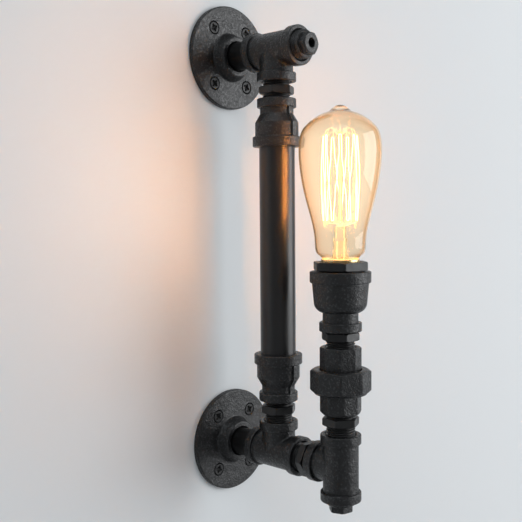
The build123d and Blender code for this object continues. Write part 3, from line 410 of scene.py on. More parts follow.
def blown_glass(name, looks):
    """Amber blown glass: clear and faintly wavy, with a painted warm glow in it, though the glass is
    no lamp.

    The painted glow is even round the filament's middle and falls off with the height away from it,
    and more of it is painted in the first millimetres above the bush's mouth.
    """
    wave_size, wave_depth, neck_start, neck_end = 14 * MM, 0.10 * MM, 0.5 * MM, 4.0 * MM
    material, tree, main = shader(name)
    place = object_place(tree)
    waves = noise(tree, place, wave_size, 1.0)
    edge = add_node(tree, "ShaderNodeLayerWeight", {"Blend": 0.35}).outputs["Facing"]
    amber = spread(tree, edge, (0.14, 0.74), (0.0, 1.0))
    height = add_node(tree, "ShaderNodeSeparateXYZ", {"Vector": place}).outputs[2]
    low, high = node_heights("bulb_filament")
    middle, half = (low + high) / 2, (high - low) / 2
    away = arithmetic(tree, "ABSOLUTE", arithmetic(tree, "SUBTRACT", height, middle))
    # painted glow, strongest round the filament's middle and falling off above and below it
    skin = spread(tree, away, (half * 0.5, half * 1.7),
                  (looks.glow_strength, looks.glow_strength * 0.25))
    mouth = node_heights("lampholder_bush")[1]
    # share of the painted glow gathered at the neck, above the bush's mouth
    painted_neck_share = spread(tree, height, (mouth + neck_start, mouth + neck_end), (1.0, 0.0))
    set_inputs(tree, main, {
        "Base Color": blended(tree, amber, looks.glass, looks.rim),
        "Transmission Weight": 1.0,
        "Roughness": 0.02,
        "IOR": 1.47,
        # the glass's light is a painted glow
        "Emission Color": blended(tree, painted_neck_share, looks.glow, looks.neck),
        "Emission Strength": arithmetic(tree, "MULTIPLY_ADD", painted_neck_share, looks.neck_strength, skin),
        "Normal": bump(tree, waves, wave_depth, 0.5),
    })
    return material


def clear_glass(name):
    """Clear pressed glass of the stem, with faint drawn waves and a faint painted warm glow."""
    wave_size, wave_depth = 3 * MM, 0.08 * MM
    material, tree, main = shader(name)
    waves = noise(tree, object_place(tree), wave_size, 2.0)
    set_inputs(tree, main, {
        "Base Color": (1.0, 0.93, 0.82, 1),
        "Transmission Weight": 1.0,
        "Roughness": 0.05,
        "IOR": 1.5,
        # painted glow: the stem is no lamp
        "Emission Color": (1.0, 0.66, 0.28, 1),
        "Emission Strength": 0.10,
        "Normal": bump(tree, waves, wave_depth, 0.6),
    })
    return material


def glowing_carbon(name, looks):
    """Glowing filament: a little brighter and dimmer along its length."""
    patch_size, dim, bright = 7 * MM, looks.filament_strength * 0.6, looks.filament_strength * 1.2
    material, tree, main = shader(name)
    patches = noise(tree, object_place(tree), patch_size, 2.0)
    set_inputs(tree, main, {
        "Base Color": (0.05, 0.04, 0.03, 1),
        "Emission Color": (*looks.filament, 1),
        "Emission Strength": spread(tree, patches, (0.3, 0.7), (dim, bright)),
    })
    return material


def make_materials(scene):
    """One material for each of the record's slots, and one for the pipes that lie level.

    Each row holds its maker and what the maker takes.  For plain metals and solids these are two
    shades, the size of the pattern, and the least and greatest roughness.
    """
    paint, bulb = scene.paint_colours, scene.bulb_looks
    recipes = {
        "cast_iron_black": (cast_paint, paint.cast, paint.cast_worn_and_highlight, paint.grain,
                            paint.grain_depth),
        "steel_pipe_black": (pipe_paint, paint.pipe, paint.pipe_worn_and_highlight),
        "turned_steel_black": (turned_paint, paint.turned, paint.turned_worn_and_highlight),
        "screw_black": (turned_paint, paint.pipe, paint.pipe_worn_and_highlight, (0.44, 0.58)),
        "gasket_fibre": (plain_solid, (0.16, 0.11, 0.07), (0.24, 0.17, 0.11), 1.5 * MM,
                         (0.7, 0.9)),
        "porcelain": (plain_solid, (0.80, 0.78, 0.72), (0.86, 0.84, 0.79), 9 * MM, (0.12, 0.25)),
        "insulating_sleeve": (plain_solid, (0.030, 0.024, 0.020), (0.050, 0.040, 0.032), 4 * MM,
                              (0.4, 0.6)),
        "brass_fittings": (plain_metal, (0.83, 0.62, 0.28), (0.45, 0.30, 0.13), 0.3 * MM,
                           (0.22, 0.4)),
        "cable_sheath": (plain_solid, (0.020, 0.020, 0.021), (0.032, 0.032, 0.033), 3 * MM,
                         (0.5, 0.65)),
        "core_live": (plain_solid, (0.20, 0.085, 0.035), (0.25, 0.11, 0.05), 3 * MM, (0.35, 0.5)),
        "core_neutral": (plain_solid, (0.025, 0.10, 0.40), (0.04, 0.13, 0.47), 3 * MM,
                         (0.35, 0.5)),
        "core_earth": (striped_insulation, (0.06, 0.36, 0.06), (0.75, 0.62, 0.05)),
        "tinned_copper": (plain_metal, (0.78, 0.77, 0.75), (0.55, 0.53, 0.50), 0.3 * MM,
                          (0.25, 0.4)),
        "bulb_glass_amber": (blown_glass, bulb),
        "bulb_cap_brass": (plain_metal, (0.80, 0.60, 0.30), (0.48, 0.33, 0.16), 0.4 * MM,
                           (0.2, 0.38)),
        "cap_glass_black": (plain_solid, (0.010, 0.010, 0.012), (0.02, 0.02, 0.024), 5 * MM,
                            (0.1, 0.2)),
        "solder": (plain_metal, (0.66, 0.66, 0.67), (0.42, 0.42, 0.43), 0.5 * MM, (0.3, 0.5)),
        "stem_glass": (clear_glass,),
        # the support wire's last value is a painted warm glow
        "support_wire": (plain_metal, (0.72, 0.66, 0.56), (0.45, 0.38, 0.30), 0.3 * MM,
                         (0.25, 0.4), 1.1),
        "filament": (glowing_carbon, bulb),
        "steel_pipe_black_level": (pipe_paint, paint.pipe, paint.pipe_worn_and_highlight, "Y"),
    }
    for name, (maker, *values) in recipes.items():
        MATERIALS[name] = maker(name, *values)


# ---------------------------------------------------------------- surfaces
CORNER_SHARPNESS = 90.0  # power of the mean that rounds a polygon's corners
CONE_SLOPE = math.sqrt(3)  # across over along, for corners turned off by a cone of 30 degrees
LEAST_BEVEL = 0.14 * MM
LARGEST_ROUND = 0.3  # share of a profile's side that a rounded corner may take
HOLD = 1.5  # where a flat side is held beside a rounded corner, in reaches of that corner
NO_LENGTH = 1e-9
ROOT_FLAT = 1.15  # over 1, it cuts the roots of a thread flat
CREST_BREADTH = 1.3  # over 1, it makes the crests of a thread broader than its grooves


def add_surface(name, points, body, slot, wrap_rows=False, poles=(False, False)):
    """Put a grid of points, rows by columns by 3, into a closed mesh whose columns wrap round.

    Each face joins a point to the next in its row and to the two above them.  A pole is an end row
    whose points are one and the same, closed with triangles.
    """
    rows, columns = points.shape[:2]
    index = np.arange(rows * columns).reshape(rows, columns)
    top = np.roll(index, -1, axis=0) if wrap_rows else index[1:]
    base = index if wrap_rows else index[:-1]
    corners = np.stack([base, np.roll(base, -1, axis=1), np.roll(top, -1, axis=1), top], axis=-1)
    first, last = int(poles[0]), len(corners) - int(poles[1])
    quads = corners[first:last].reshape(-1, 4)
    triangles = [np.zeros((0, 3), int)]
    if poles[0]:
        foot = np.zeros(columns, int)
        triangles.append(np.stack([foot, np.roll(index[1], -1), index[1]], axis=-1))
    if poles[1]:
        tip = np.full(columns, index[-1, 0])
        triangles.append(np.stack([index[-2], np.roll(index[-2], -1), tip], axis=-1))
    triangles = np.concatenate(triangles)
    vertices = points.reshape(-1, 3)
    used = np.unique(np.concatenate([quads.ravel(), triangles.ravel()]))
    renumber = np.zeros(len(vertices), int)
    renumber[used] = np.arange(len(used))
    mesh = bpy.data.meshes.new(name)
    faces = renumber[quads].tolist() + renumber[triangles].tolist()
    mesh.from_pydata(vertices[used].tolist(), [], faces)
    return finish_piece(name, mesh, body, slot)


def finish_piece(name, mesh, body, slot):
    """Shade a mesh smooth, face it outwards, and put it on its body with its slot's material."""
    mesh.update()
    mesh.shade_smooth()
    piece = bpy.data.objects.new(name, mesh)
    bpy.context.scene.collection.objects.link(piece)
    if signed_volume(mesh) < 0:
        mesh.flip_normals()
    mesh.materials.append(MATERIALS[slot])
    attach(piece, body)
    return piece


def signed_volume(mesh):
    """Sum of the signed volumes of the cones from the origin to each triangle.

    It is positive if the faces point out.
    """
    mesh.calc_loop_triangles()
    places = np.zeros(len(mesh.vertices) * 3)
    mesh.vertices.foreach_get("co", places)
    corners = np.zeros(len(mesh.loop_triangles) * 3, int)
    mesh.loop_triangles.foreach_get("vertices", corners)
    a, b, c = places.reshape(-1, 3)[corners.reshape(-1, 3)].transpose(1, 0, 2)
    return float(np.einsum("ij,ij->", a, np.cross(b, c))) / 6


def join(pieces):
    """Make one object of several, in the first one's name."""
    bpy.ops.object.select_all(action="DESELECT")
    for piece in pieces:
        piece.select_set(True)
    bpy.context.view_layer.objects.active = pieces[0]
    bpy.ops.object.join()
    return pieces[0]


def all_round(columns):
    """Angles of the points round a turned piece."""
    return np.linspace(0, 2 * np.pi, columns, endpoint=False)


def pairs(radii, heights):
    """Radii and heights put together as (radius, height)."""
    return np.stack(np.broadcast_arrays(radii, heights), axis=-1)


def rings(columns, *corners):
    """Corners of a profile that are the same all round, each given as (radius, height)."""
    return [pairs(np.full(columns, radius), height) for radius, height in corners]


def spanner_radius(angles, sides, flats, turn):
    """Radius of a regular polygon with slightly rounded corners.

    It is half the flats over the largest cosine of the angle to a face's middle, where the largest
    is a power mean, so that the corners come out round.
    """
    middles = np.radians(turn) + (np.arange(sides) + 0.5) * 2 * np.pi / sides
    cosines = np.clip(np.cos(angles[None, :] - middles[:, None]), 0, None)
    return flats / 2 / (cosines ** CORNER_SHARPNESS).sum(axis=0) ** (1 / CORNER_SHARPNESS)


def corner_radius(sides, flats):
    """Radius of a regular polygon at its corners: half the flats over the cosine of half a side."""
    return flats / 2 / math.cos(math.pi / sides)


def soften(corners, radius, closed=False):
    """Round the corners of a profile given in each column: corners by columns by (radius, height).

    Each corner becomes a parabola between the points at the given distance before and after it,
    with one more point beyond each end, so that flat stretches stay flat under smooth shading.
    """
    corners = np.stack(corners)
    before = np.roll(corners, 1, axis=0) - corners
    after = np.roll(corners, -1, axis=0) - corners
    reach = [np.linalg.norm(v, axis=-1, keepdims=True) for v in (before, after)]
    cut = np.minimum(radius, LARGEST_ROUND * np.minimum(*reach))
    to_start = before / np.maximum(reach[0], NO_LENGTH) * cut
    to_end = after / np.maximum(reach[1], NO_LENGTH) * cut
    start, end = corners + to_start, corners + to_end
    middle = (start + 2 * corners + end) / 4
    rows = np.stack([corners + to_start * HOLD, start, middle, end, corners + to_end * HOLD],
                    axis=1)
    if closed:
        return rows.reshape(-1, *corners.shape[1:])
    inner = rows[1:-1].reshape(-1, *corners.shape[1:])
    return np.concatenate([corners[:1], inner, corners[-1:]])


def spanner_block(angles, sides, flats, turn, bottom, top, foot_r, head_r, bevels):
    """Profile of a spanner-faced block from foot_r at its bottom to head_r at its top.

    Its corners are turned off by a cone of 30 degrees: where the polygon passes the cone's start,
    the face's end drops by the excess over the square root of 3.  bevels says how far, at the
    corners of the bottom and of the top.
    """
    face_r = spanner_radius(angles, sides, flats, turn)
    outline = []
    for height, bevel, way in ((bottom, bevels[0], 1), (top, bevels[1], -1)):
        start_r = corner_radius(sides, flats) - bevel * CONE_SLOPE
        inner = np.minimum(face_r - LEAST_BEVEL, start_r)
        drop = np.maximum((face_r - inner) / CONE_SLOPE, LEAST_BEVEL)
        outline.append((pairs(inner, height), pairs(face_r, height + way * drop)))
    (low_in, low_out), (high_in, high_out) = outline
    foot, head = rings(len(angles), (foot_r, bottom), (head_r, top))
    return [foot, low_in, low_out, high_out, high_in, head]


def thread_rows(angles, crest, depth, pitch, bottom, top, fade=(0.0, 0.0), per_turn=10):
    """Rows of a right-hand thread: radius = crest - depth * (1 + cos(turns)) / 2, with flat roots.

    turns counts the pitch along the height less the angle; fade is the length over which the
    groove shallows out at each end.
    """
    heights = np.linspace(bottom, top, max(3, int((top - bottom) / pitch * per_turn)))
    turns = 2 * np.pi * heights[:, None] / pitch - angles[None, :]
    groove = np.clip((1 + np.cos(turns)) / 2 * ROOT_FLAT, 0, 1) ** CREST_BREADTH
    strength = np.ones_like(heights)
    if fade[0]:
        strength *= np.clip((heights - bottom) / fade[0], 0, 1)
    if fade[1]:
        strength *= np.clip((top - heights) / fade[1], 0, 1)
    return pairs(crest - depth * groove * strength[:, None], heights[:, None])


def turned_points(profile, angles, place):
    """Points of a profile round its axis: x = r cos a, y = r sin a, z = height, then placed."""
    radii, heights = profile[..., 0], profile[..., 1]
    local = np.stack([radii * np.cos(angles), radii * np.sin(angles), heights], axis=-1)
    matrix = np.array(place)
    return local @ matrix[:3, :3].T + matrix[:3, 3]


def upright(axis, height=0.0):
    """Place of a piece whose own axis stands on one of the light's upright axes."""
    return Matrix.Translation((axis[0], axis[1], height))


def out_of_wall(height, stand_off=0.0):
    """Place of a piece whose own +Z points out of the wall, along -Y, and whose +Y points up."""
    return Matrix.Translation((0, -stand_off, height)) @ Matrix.Rotation(math.pi / 2, 4, "X")


# ---------------------------------------------------------------- threaded pieces
# node: body, turn of the hexagon in degrees, thread shown below it, thread shown above it
NIPPLES = {
    "lower_riser_nipple": ("root", 34.0, 6.2 * MM, 3.6 * MM),
    "upper_riser_nipple": ("root", 29.0, 3.4 * MM, 3.5 * MM),
    "union_nipple": ("root", 24.0, 6.6 * MM, 2.0 * MM),
    "cup_nipple": ("head", 57.0, 4.8 * MM, 0.8 * MM),
    "arm_nipple": ("root", 0.0, 4.0 * MM, 2.8 * MM),
}
NIPPLE_BEVELS = (0.7 * MM, 0.7 * MM)
FIRST_TURN = 0.2 * MM  # from a plain end to the first turn of thread
HEXAGON_GAP = 0.35 * MM  # from a nipple's hexagon to the nearest turn of thread

# node: turn of the head in degrees, thread shown under it, how far its outer corners are turned off
PLUGS = {"upper_tee_plug": (0.0, 5.6 * MM, 1.1 * MM), "lamp_tee_plug": (10.0, 2.6 * MM, 0.4 * MM)}
PLUG_NECK = 0.4 * MM  # how far the head's foot lies inside the crests of the thread
PLUG_GAP = 0.5 * MM  # from the head to the nearest turn of thread
PLUG_RUN_OUT = 1.2 * MM  # length over which the thread shallows out towards the head
HOLE_BEVEL_ACROSS, HOLE_BEVEL_DOWN = 0.25 * MM, 0.4 * MM
DRILL_POINT = 1.2 * MM  # depth of the cone at the bottom of a plug's hole


def nipple_profile(angles, sizes, faces, turn, below, above):
    """Closed profile of a hex nipple: bore, plain engaged ends, threads that show, and hexagon."""
    columns = len(angles)
    hex_bottom, hex_top = below, below + faces.nipple_hexagon
    bottom, top = -sizes.engaged, hex_top + above + sizes.engaged
    lower_start, upper_end = -sizes.inside, hex_top + above + sizes.inside
    root_r, mean_r = sizes.crest - sizes.depth, sizes.crest - sizes.depth / 2
    thread = (sizes.crest, sizes.depth, sizes.pitch)
    block = spanner_block(angles, 6, faces.nipple_flats, turn, hex_bottom, hex_top, root_r, root_r,
                          NIPPLE_BEVELS)
    return np.concatenate([
        rings(columns, (sizes.bore, bottom), (mean_r, bottom), (mean_r, lower_start - FIRST_TURN)),
        thread_rows(angles, *thread, lower_start, hex_bottom - HEXAGON_GAP),
        soften(block, faces.edge),
        thread_rows(angles, *thread, hex_top + HEXAGON_GAP, upper_end),
        rings(columns, (mean_r, upper_end + FIRST_TURN), (mean_r, top), (sizes.bore, top)),
    ])


class PIPELIGHT_OT_nipples(bpy.types.Operator):
    """Cut the hex nipples with their threads and spanner faces"""
    bl_idname = "pipelight.nipples"
    bl_label = "Hex Nipples"

    def execute(self, context):
        sizes, faces = context.scene.thread_sizes, context.scene.spanner_sizes
        angles = all_round(faces.columns)
        for name, (body, turn, below, above) in NIPPLES.items():
            profile = nipple_profile(angles, sizes, faces, turn, below, above)
            low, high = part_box(name)
            if name == "arm_nipple":
                place = out_of_wall(0.0, -high[1] + sizes.engaged)
            else:
                place = upright(node_centre(name), low[2] + sizes.engaged)
            piece = add_surface("threaded_" + name, turned_points(profile, angles, place), body,
                                "turned_steel_black", wrap_rows=True)
            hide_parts(name)
        return {"FINISHED"}


def plug_profile(angles, sizes, faces, turn, shown, bevel):
    """Profile of a plug from its foot's middle, up its thread and head, to the hole's point."""
    columns = len(angles)
    mean_r = sizes.crest - sizes.depth / 2
    top = shown + faces.plug_head
    hole_bottom = top - faces.plug_hole_depth
    block = spanner_block(angles, 6, faces.plug_flats, turn, shown, top, sizes.crest - PLUG_NECK,
                          faces.plug_hole + HOLE_BEVEL_ACROSS, (0.0, bevel))
    block += rings(columns, (faces.plug_hole, top - HOLE_BEVEL_DOWN),
                   (faces.plug_hole, hole_bottom), (0, hole_bottom - DRILL_POINT))
    return np.concatenate([
        rings(columns, (0, -sizes.engaged), (mean_r, -sizes.engaged), (mean_r, -sizes.inside)),
        thread_rows(angles, sizes.crest, sizes.depth, sizes.pitch, -sizes.inside + FIRST_TURN,
                    shown - PLUG_GAP, fade=(0, PLUG_RUN_OUT)),
        soften(block, faces.edge),
    ])


class PIPELIGHT_OT_plugs(bpy.types.Operator):
    """Cut the plugs with their threads, heads and blind holes"""
    bl_idname = "pipelight.plugs"
    bl_label = "Plugs"

    def execute(self, context):
        sizes, faces = context.scene.thread_sizes, context.scene.spanner_sizes
        angles = all_round(faces.columns)
        for name, (turn, shown, bevel) in PLUGS.items():
            profile = plug_profile(angles, sizes, faces, turn, shown, bevel)
            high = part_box(name)[1]
            if name == "upper_tee_plug":
                place = out_of_wall(UPPER_FLANGE_Z, -high[1] + sizes.engaged)
            else:
                upside_down = Matrix.Rotation(math.pi, 4, "X")
                place = upright(LAMP_AXIS, high[2] - sizes.engaged) @ upside_down
            piece = add_surface("threaded_" + name, turned_points(profile, angles, place), "root",
                                "cast_iron_black", poles=(True, True))
            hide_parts(name)
        return {"FINISHED"}


# ---------------------------------------------------------------- union and bush
SEAT_TURN, NUT_TURN, BUSH_TURN = 2.0, 39.0, 48.0  # turn of the spanner faces in degrees
MOUTH_R, MOUTH_BEVEL, MOUTH_DEPTH = 10.5 * MM, 1.6 * MM, 13.0 * MM
WATERWAY_R = 9.6 * MM


class PIPELIGHT_OT_union(bpy.types.Operator):
    """Shape the union's two bodies, its nut and the lampholder bush, with soft spanner faces"""
    bl_idname = "pipelight.union"
    bl_label = "Union and Bush"

    def execute(self, context):
        faces = context.scene.spanner_sizes
        angles = all_round(faces.columns)
        self.cast("union_seat_body", self.seat(faces, angles), angles, "root", faces.edge)
        self.cast("union_tail_body", self.tail(faces, angles), angles, "head", faces.edge)
        self.cast("union_nut", self.nut(faces, angles), angles, "union_nut", 0.5 * MM)
        points = turned_points(self.bush(faces, angles), angles, upright(LAMP_AXIS))
        piece = add_surface("turned_lampholder_bush", points, "head", "turned_steel_black",
                            wrap_rows=True)
        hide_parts("lampholder_bush")
        return {"FINISHED"}

    @staticmethod
    def cast(name, corners, angles, body, softness):
        """One closed cast piece on the lamp's axis that stands for a node."""
        profile = soften(corners, softness, closed=True)
        points = turned_points(profile, angles, upright(LAMP_AXIS))
        piece = add_surface("cast_" + name, points, body, "cast_iron_black", wrap_rows=True)
        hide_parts(name)

    @staticmethod
    def seat(faces, angles):
        """Seat body: a round foot that runs out into an octagon by a cone, and a round collar."""
        low, high = node_heights("union_seat_body")
        octagon_start, collar, collar_r, foot_r = 2.7 * MM, 7.6 * MM, 18.2 * MM, 12.4 * MM
        face_r = spanner_radius(angles, 8, faces.union_flats, SEAT_TURN)
        across = corner_radius(8, faces.union_flats) - foot_r
        cone_top = low + octagon_start * (face_r - foot_r) / across
        columns = len(angles)
        return [
            *rings(columns, (MOUTH_R + MOUTH_BEVEL, low), (foot_r, low)),
            pairs(face_r, cone_top), pairs(face_r, high - collar),
            *rings(columns, (collar_r, high - collar), (collar_r, high), (WATERWAY_R, high),
                   (WATERWAY_R, low + MOUTH_DEPTH), (MOUTH_R, low + MOUTH_DEPTH),
                   (MOUTH_R, low + MOUTH_BEVEL))]

    @staticmethod
    def tail(faces, angles):
        """Tail body: a round collar that the nut holds, and an octagon above it."""
        low, high = node_heights("union_tail_body")
        collar, collar_r, bevel = 4.4 * MM, 17.6 * MM, 0.7 * MM
        octagon = spanner_block(angles, 8, faces.union_flats, NUT_TURN, low + collar, high,
                                collar_r, MOUTH_R + MOUTH_BEVEL, (0.0, bevel))
        columns = len(angles)
        return [
            *rings(columns, (WATERWAY_R, low), (collar_r, low)), *octagon,
            *rings(columns, (MOUTH_R, high - MOUTH_BEVEL), (MOUTH_R, high - MOUTH_DEPTH),
                   (WATERWAY_R, high - MOUTH_DEPTH))]

    @staticmethod
    def nut(faces, angles):
        """Nut: an octagon with a threaded bore and a lip that closes over the tail's collar."""
        low, high = node_heights("union_nut")
        bevels, lip, gap, thread_r = (2.6 * MM, 1.6 * MM), 3.6 * MM, 0.3 * MM, 18.29 * MM
        bore_bevel, lip_bevel = 0.7 * MM, 0.3 * MM
        lip_r = corner_radius(8, faces.union_flats) + gap
        octagon = spanner_block(angles, 8, faces.nut_flats, NUT_TURN, low, high,
                                thread_r + bore_bevel, lip_r + lip_bevel, bevels)
        return octagon + rings(len(angles), (lip_r, high - lip_bevel), (lip_r, high - lip),
                               (thread_r, high - lip), (thread_r, low + bore_bevel))

    @staticmethod
    def bush(faces, angles):
        """Bush: a hexagon over a one inch pipe thread, with a plain bore and a plain lower end."""
        low, high = node_heights("lampholder_bush")
        hexagon, bevel, neck, bore, bore_bevel = 6.0 * MM, 0.7 * MM, 0.8 * MM, 14.85 * MM, 0.5 * MM
        thread_r, depth, pitch, gap = 16.5 * MM, 0.9 * MM, 2.309 * MM, 0.1 * MM
        plain_r, plain_end, thread_start = thread_r - 0.5 * MM, low + 5.8 * MM, low + 6.0 * MM
        head = spanner_block(angles, 6, faces.bush_flats, BUSH_TURN, high - hexagon, high,
                             thread_r - neck, bore + bore_bevel, (bevel, bevel))
        return np.concatenate([
            thread_rows(angles, thread_r, depth, pitch, thread_start, high - hexagon - gap),
            soften(head, faces.edge),
            rings(len(angles), (bore, high - bore_bevel), (bore, low), (plain_r, low),
                  (plain_r, plain_end)),
        ])


# ---------------------------------------------------------------- wall screws
FLANGE_THICK = 4.0 * MM
FLANGE_COVER_R = 37.0 * MM  # of the wall's openings, a little less than a flange covers
SCREW_ACROSS, SCREW_UP = 17.3 * MM, 21.3 * MM  # from a flange's middle to a screw's axis
SCREW_CORNERS = ((1, 1), (-1, 1), (-1, -1), (1, -1))
SCREW_HEAD_R, SCREW_HEAD_DEPTH = 4.4 * MM, 2.9 * MM
SCREW_SHANK_R, SCREW_NECK_R = 2.1 * MM, 1.9 * MM
SCREW_REACH, SCREW_POINT = 26.0 * MM, 5.0 * MM  # into the wall, and how much of that is pointed
POINT_BULGE = 0.8  # power of the point's taper; under 1 it swells
SCREW_COLUMNS, SCREW_FACE_ROWS = 96, 38
SCREW_FACE_R, SCREW_RIM_R = 3.4 * MM, 3.5 * MM  # of the face with the recess, and of its rim
HEAD_LAND, HEAD_BEVEL = 0.25 * MM, 0.3 * MM  # upright edge of the head, and the bevel within it
ARM_REACH, ARM_END = 3.15 * MM, 0.22 * MM  # of the cross, and the width of its end's slope
ARM_HALF_WIDTH, ARM_WALL = 0.78 * MM, 0.16 * MM  # of an arm, and the width of its wall's slope
ARM_DEPTH, ARM_RISE = 2.2 * MM, 0.38  # at the middle, and how it rises towards an arm's end
ARM_COSINE, CROSS_MIDDLE_R = 0.75, 1.1 * MM  # past the middle, an arm keeps over this cosine
LINE_REACH, LINE_END = 2.5 * MM, 0.2 * MM  # of the fine lines, and the width of their end's slope
LINE_HALF_WIDTH, LINE_WALL, LINE_DEPTH = 0.34 * MM, 0.12 * MM, 0.75 * MM


def falling(value, limit, width):
    """1 where a value is well under its limit, and straight down to 0 over the width before it."""
    return np.clip((limit - value) / width, 0, 1)


def cross_recess(radii, angles):
    """Depth of a cross recess: four tapered arms that deepen to the middle, and four fine lines.

    An arm is deep where the distance across it, r |sin 2a| / 2, is under its half width, and ends
    at its reach.  A fine line is the same between two arms, with the cosine for the sine.
    """
    r, a = radii[:, None], angles[None, :]
    walls = falling(np.abs(np.sin(2 * a)) / 2 * r, ARM_HALF_WIDTH, ARM_WALL)
    on_arm = np.maximum(np.abs(np.cos(a)), np.abs(np.sin(a))) > ARM_COSINE
    there = np.where((r < CROSS_MIDDLE_R) | on_arm, 1, 0)
    arm = walls * falling(r, ARM_REACH, ARM_END) * there * (ARM_DEPTH - ARM_RISE * r)
    line = falling(np.abs(np.cos(2 * a)) / 2 * r, LINE_HALF_WIDTH, LINE_WALL)
    return np.maximum(arm, line * falling(r, LINE_REACH, LINE_END) * LINE_DEPTH)


def screw_profile(angles, sizes):
    """Profile of a wall screw from its point, up its thread and head, to the recess's middle."""
    columns = len(angles)
    thread_end, plain_start, plain_end = -1.2 * MM, -1.1 * MM, -0.4 * MM
    run_out, edge, per_turn = 2 * MM, 0.2 * MM, 7
    point_start, neck_end = SCREW_POINT - SCREW_REACH, FLANGE_THICK - SCREW_HEAD_DEPTH
    thread = (SCREW_SHANK_R, SCREW_SHANK_R - sizes.screw_root, sizes.screw_pitch)
    shank = thread_rows(angles, *thread, point_start, thread_end, (0, run_out), per_turn)
    tip = thread_rows(angles, *thread, -SCREW_REACH, point_start, per_turn=per_turn)[:-1]
    tip[..., 0] *= np.clip((tip[..., 1] + SCREW_REACH) / SCREW_POINT, 0, 1) ** POINT_BULGE
    head = soften(rings(columns, (SCREW_SHANK_R, plain_start), (SCREW_SHANK_R, plain_end),
                        (SCREW_NECK_R, 0), (SCREW_NECK_R, neck_end),
                        (SCREW_HEAD_R, FLANGE_THICK - HEAD_LAND),
                        (SCREW_HEAD_R - HEAD_BEVEL, FLANGE_THICK),
                        (SCREW_RIM_R, FLANGE_THICK)), edge)
    face_r = np.linspace(SCREW_FACE_R, 0, SCREW_FACE_ROWS)
    face = pairs(face_r[:, None], FLANGE_THICK - cross_recess(face_r, angles))
    return np.concatenate([tip, shank, head, face])


class PIPELIGHT_OT_screws(bpy.types.Operator):
    """Cut the countersunk wall screws with their cross recesses and pointed threads"""
    bl_idname = "pipelight.screws"
    bl_label = "Wall Screws"

    def execute(self, context):
        first_turn, turn_step, turn_per_metre = 0.5, 1.9, 40  # radians: no two screws stand alike
        angles = all_round(SCREW_COLUMNS)
        profile = screw_profile(angles, context.scene.thread_sizes)
        for name, height in (("lower_flange_screws", 0.0), ("upper_flange_screws", UPPER_FLANGE_Z)):
            made = []
            for index, (across, up) in enumerate(SCREW_CORNERS):
                turn = first_turn + turn_step * index + turn_per_metre * height
                corner = Matrix.Translation((across * SCREW_ACROSS, up * SCREW_UP, 0))
                place = out_of_wall(height) @ corner @ Matrix.Rotation(turn, 4, "Z")
                made.append(add_surface("crossed_" + name, turned_points(profile, angles, place),
                                        "root", "screw_black", poles=(True, True)))
            piece = join(made)
            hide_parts(name)
        return {"FINISHED"}


# ---------------------------------------------------------------- bulb
HOOK_INSET = 0.35 * MM  # how much nearer the bulb's axis the hooks are than the strands
SWAY_STEP, SWAY_START, BULGE_STEP = 2.4, 0.7, 1.7  # radians from strand to strand
RIPPLE, RIPPLE_ALONG, RIPPLE_STEP = 0.3, 21, 2  # share of the sway, radians along, and by strand
END_DROP = 8  # power that keeps the drop of the two loose ends close to the leads
STRAND_POINTS, TURN_POINTS, WIRE_SIDES = 40, 10, 8
CAP_COLUMNS, CAP_ROWS = 144, 62


def tube_points(path, radius, sides):
    """Points of a round wire along a path: at each point, a circle square to the wire's way.

    The circle's first direction is carried along the path, each time less its share along the new
    way.
    """
    ways = np.gradient(path, axis=0)
    ways /= np.linalg.norm(ways, axis=1, keepdims=True)
    first = np.cross(ways[0], (0.3, 0.5, 0.8))
    firsts = [first / np.linalg.norm(first)]
    for way in ways[1:]:
        carried = firsts[-1] - way * (firsts[-1] @ way)
        firsts.append(carried / np.linalg.norm(carried))
    firsts = np.array(firsts)
    seconds = np.cross(ways, firsts)
    around = all_round(sides)[None, :, None]
    points = path[:, None] + radius * (firsts[:, None] * np.cos(around)
                                       + seconds[:, None] * np.sin(around))
    start, end = (np.broadcast_to(path[i], (1, sides, 3)) for i in (0, -1))
    return np.concatenate([start, points, end])


def filament_path(looks, low, high):
    """Points along the filament, about the bulb's axis.

    A strand's angle goes from one hook to the next as half a cosine wave and its middle bows out
    as a sine; each turn is half a circle round a hook.
    """
    step = 2 * np.pi / looks.strands
    hook_radius = looks.cage_radius - HOOK_INSET
    rise = np.linspace(0, 1, STRAND_POINTS)
    bow = np.sin(np.pi * rise)
    half = np.linspace(0, np.pi, TURN_POINTS)[1:-1]
    reach, close = looks.turn_radius, looks.turn_radius / looks.cage_radius
    inset = reach + looks.filament_radius
    sway = looks.sway / looks.cage_radius
    paths = []
    for strand in range(looks.strands):
        up = strand % 2 == 0
        last_strand = strand == looks.strands - 1
        start = 0.0 if strand == 0 else (strand - 0.5) * step + close
        end = strand * step if last_strand else (strand + 0.5) * step - close
        turn = start + (end - start) * (0.5 - 0.5 * np.cos(np.pi * rise))
        turn = turn + bow * sway * math.sin(strand * SWAY_STEP + SWAY_START)
        turn = turn + RIPPLE * bow * sway * np.sin(rise * RIPPLE_ALONG + strand * RIPPLE_STEP)
        bulge = bow * looks.sway * math.sin(strand * BULGE_STEP)
        radius = hook_radius + (looks.cage_radius - hook_radius) * bow ** 0.5 + bulge
        height = low + inset + (rise if up else 1 - rise) * (high - low - 2 * inset)
        if strand == 0:
            height = height - (1 - rise) ** END_DROP * reach
        if last_strand:
            height = height - rise ** END_DROP * reach
        paths.append(np.stack([radius * np.cos(turn), radius * np.sin(turn), height], axis=-1))
        if not last_strand:
            turn = (strand + 0.5) * step - close * np.cos(half)
            way = 1 if up else -1
            height = (high if up else low) - way * inset + way * reach * np.sin(half)
            paths.append(np.stack([hook_radius * np.cos(turn), hook_radius * np.sin(turn), height],
                                  axis=-1))
    return np.concatenate(paths)


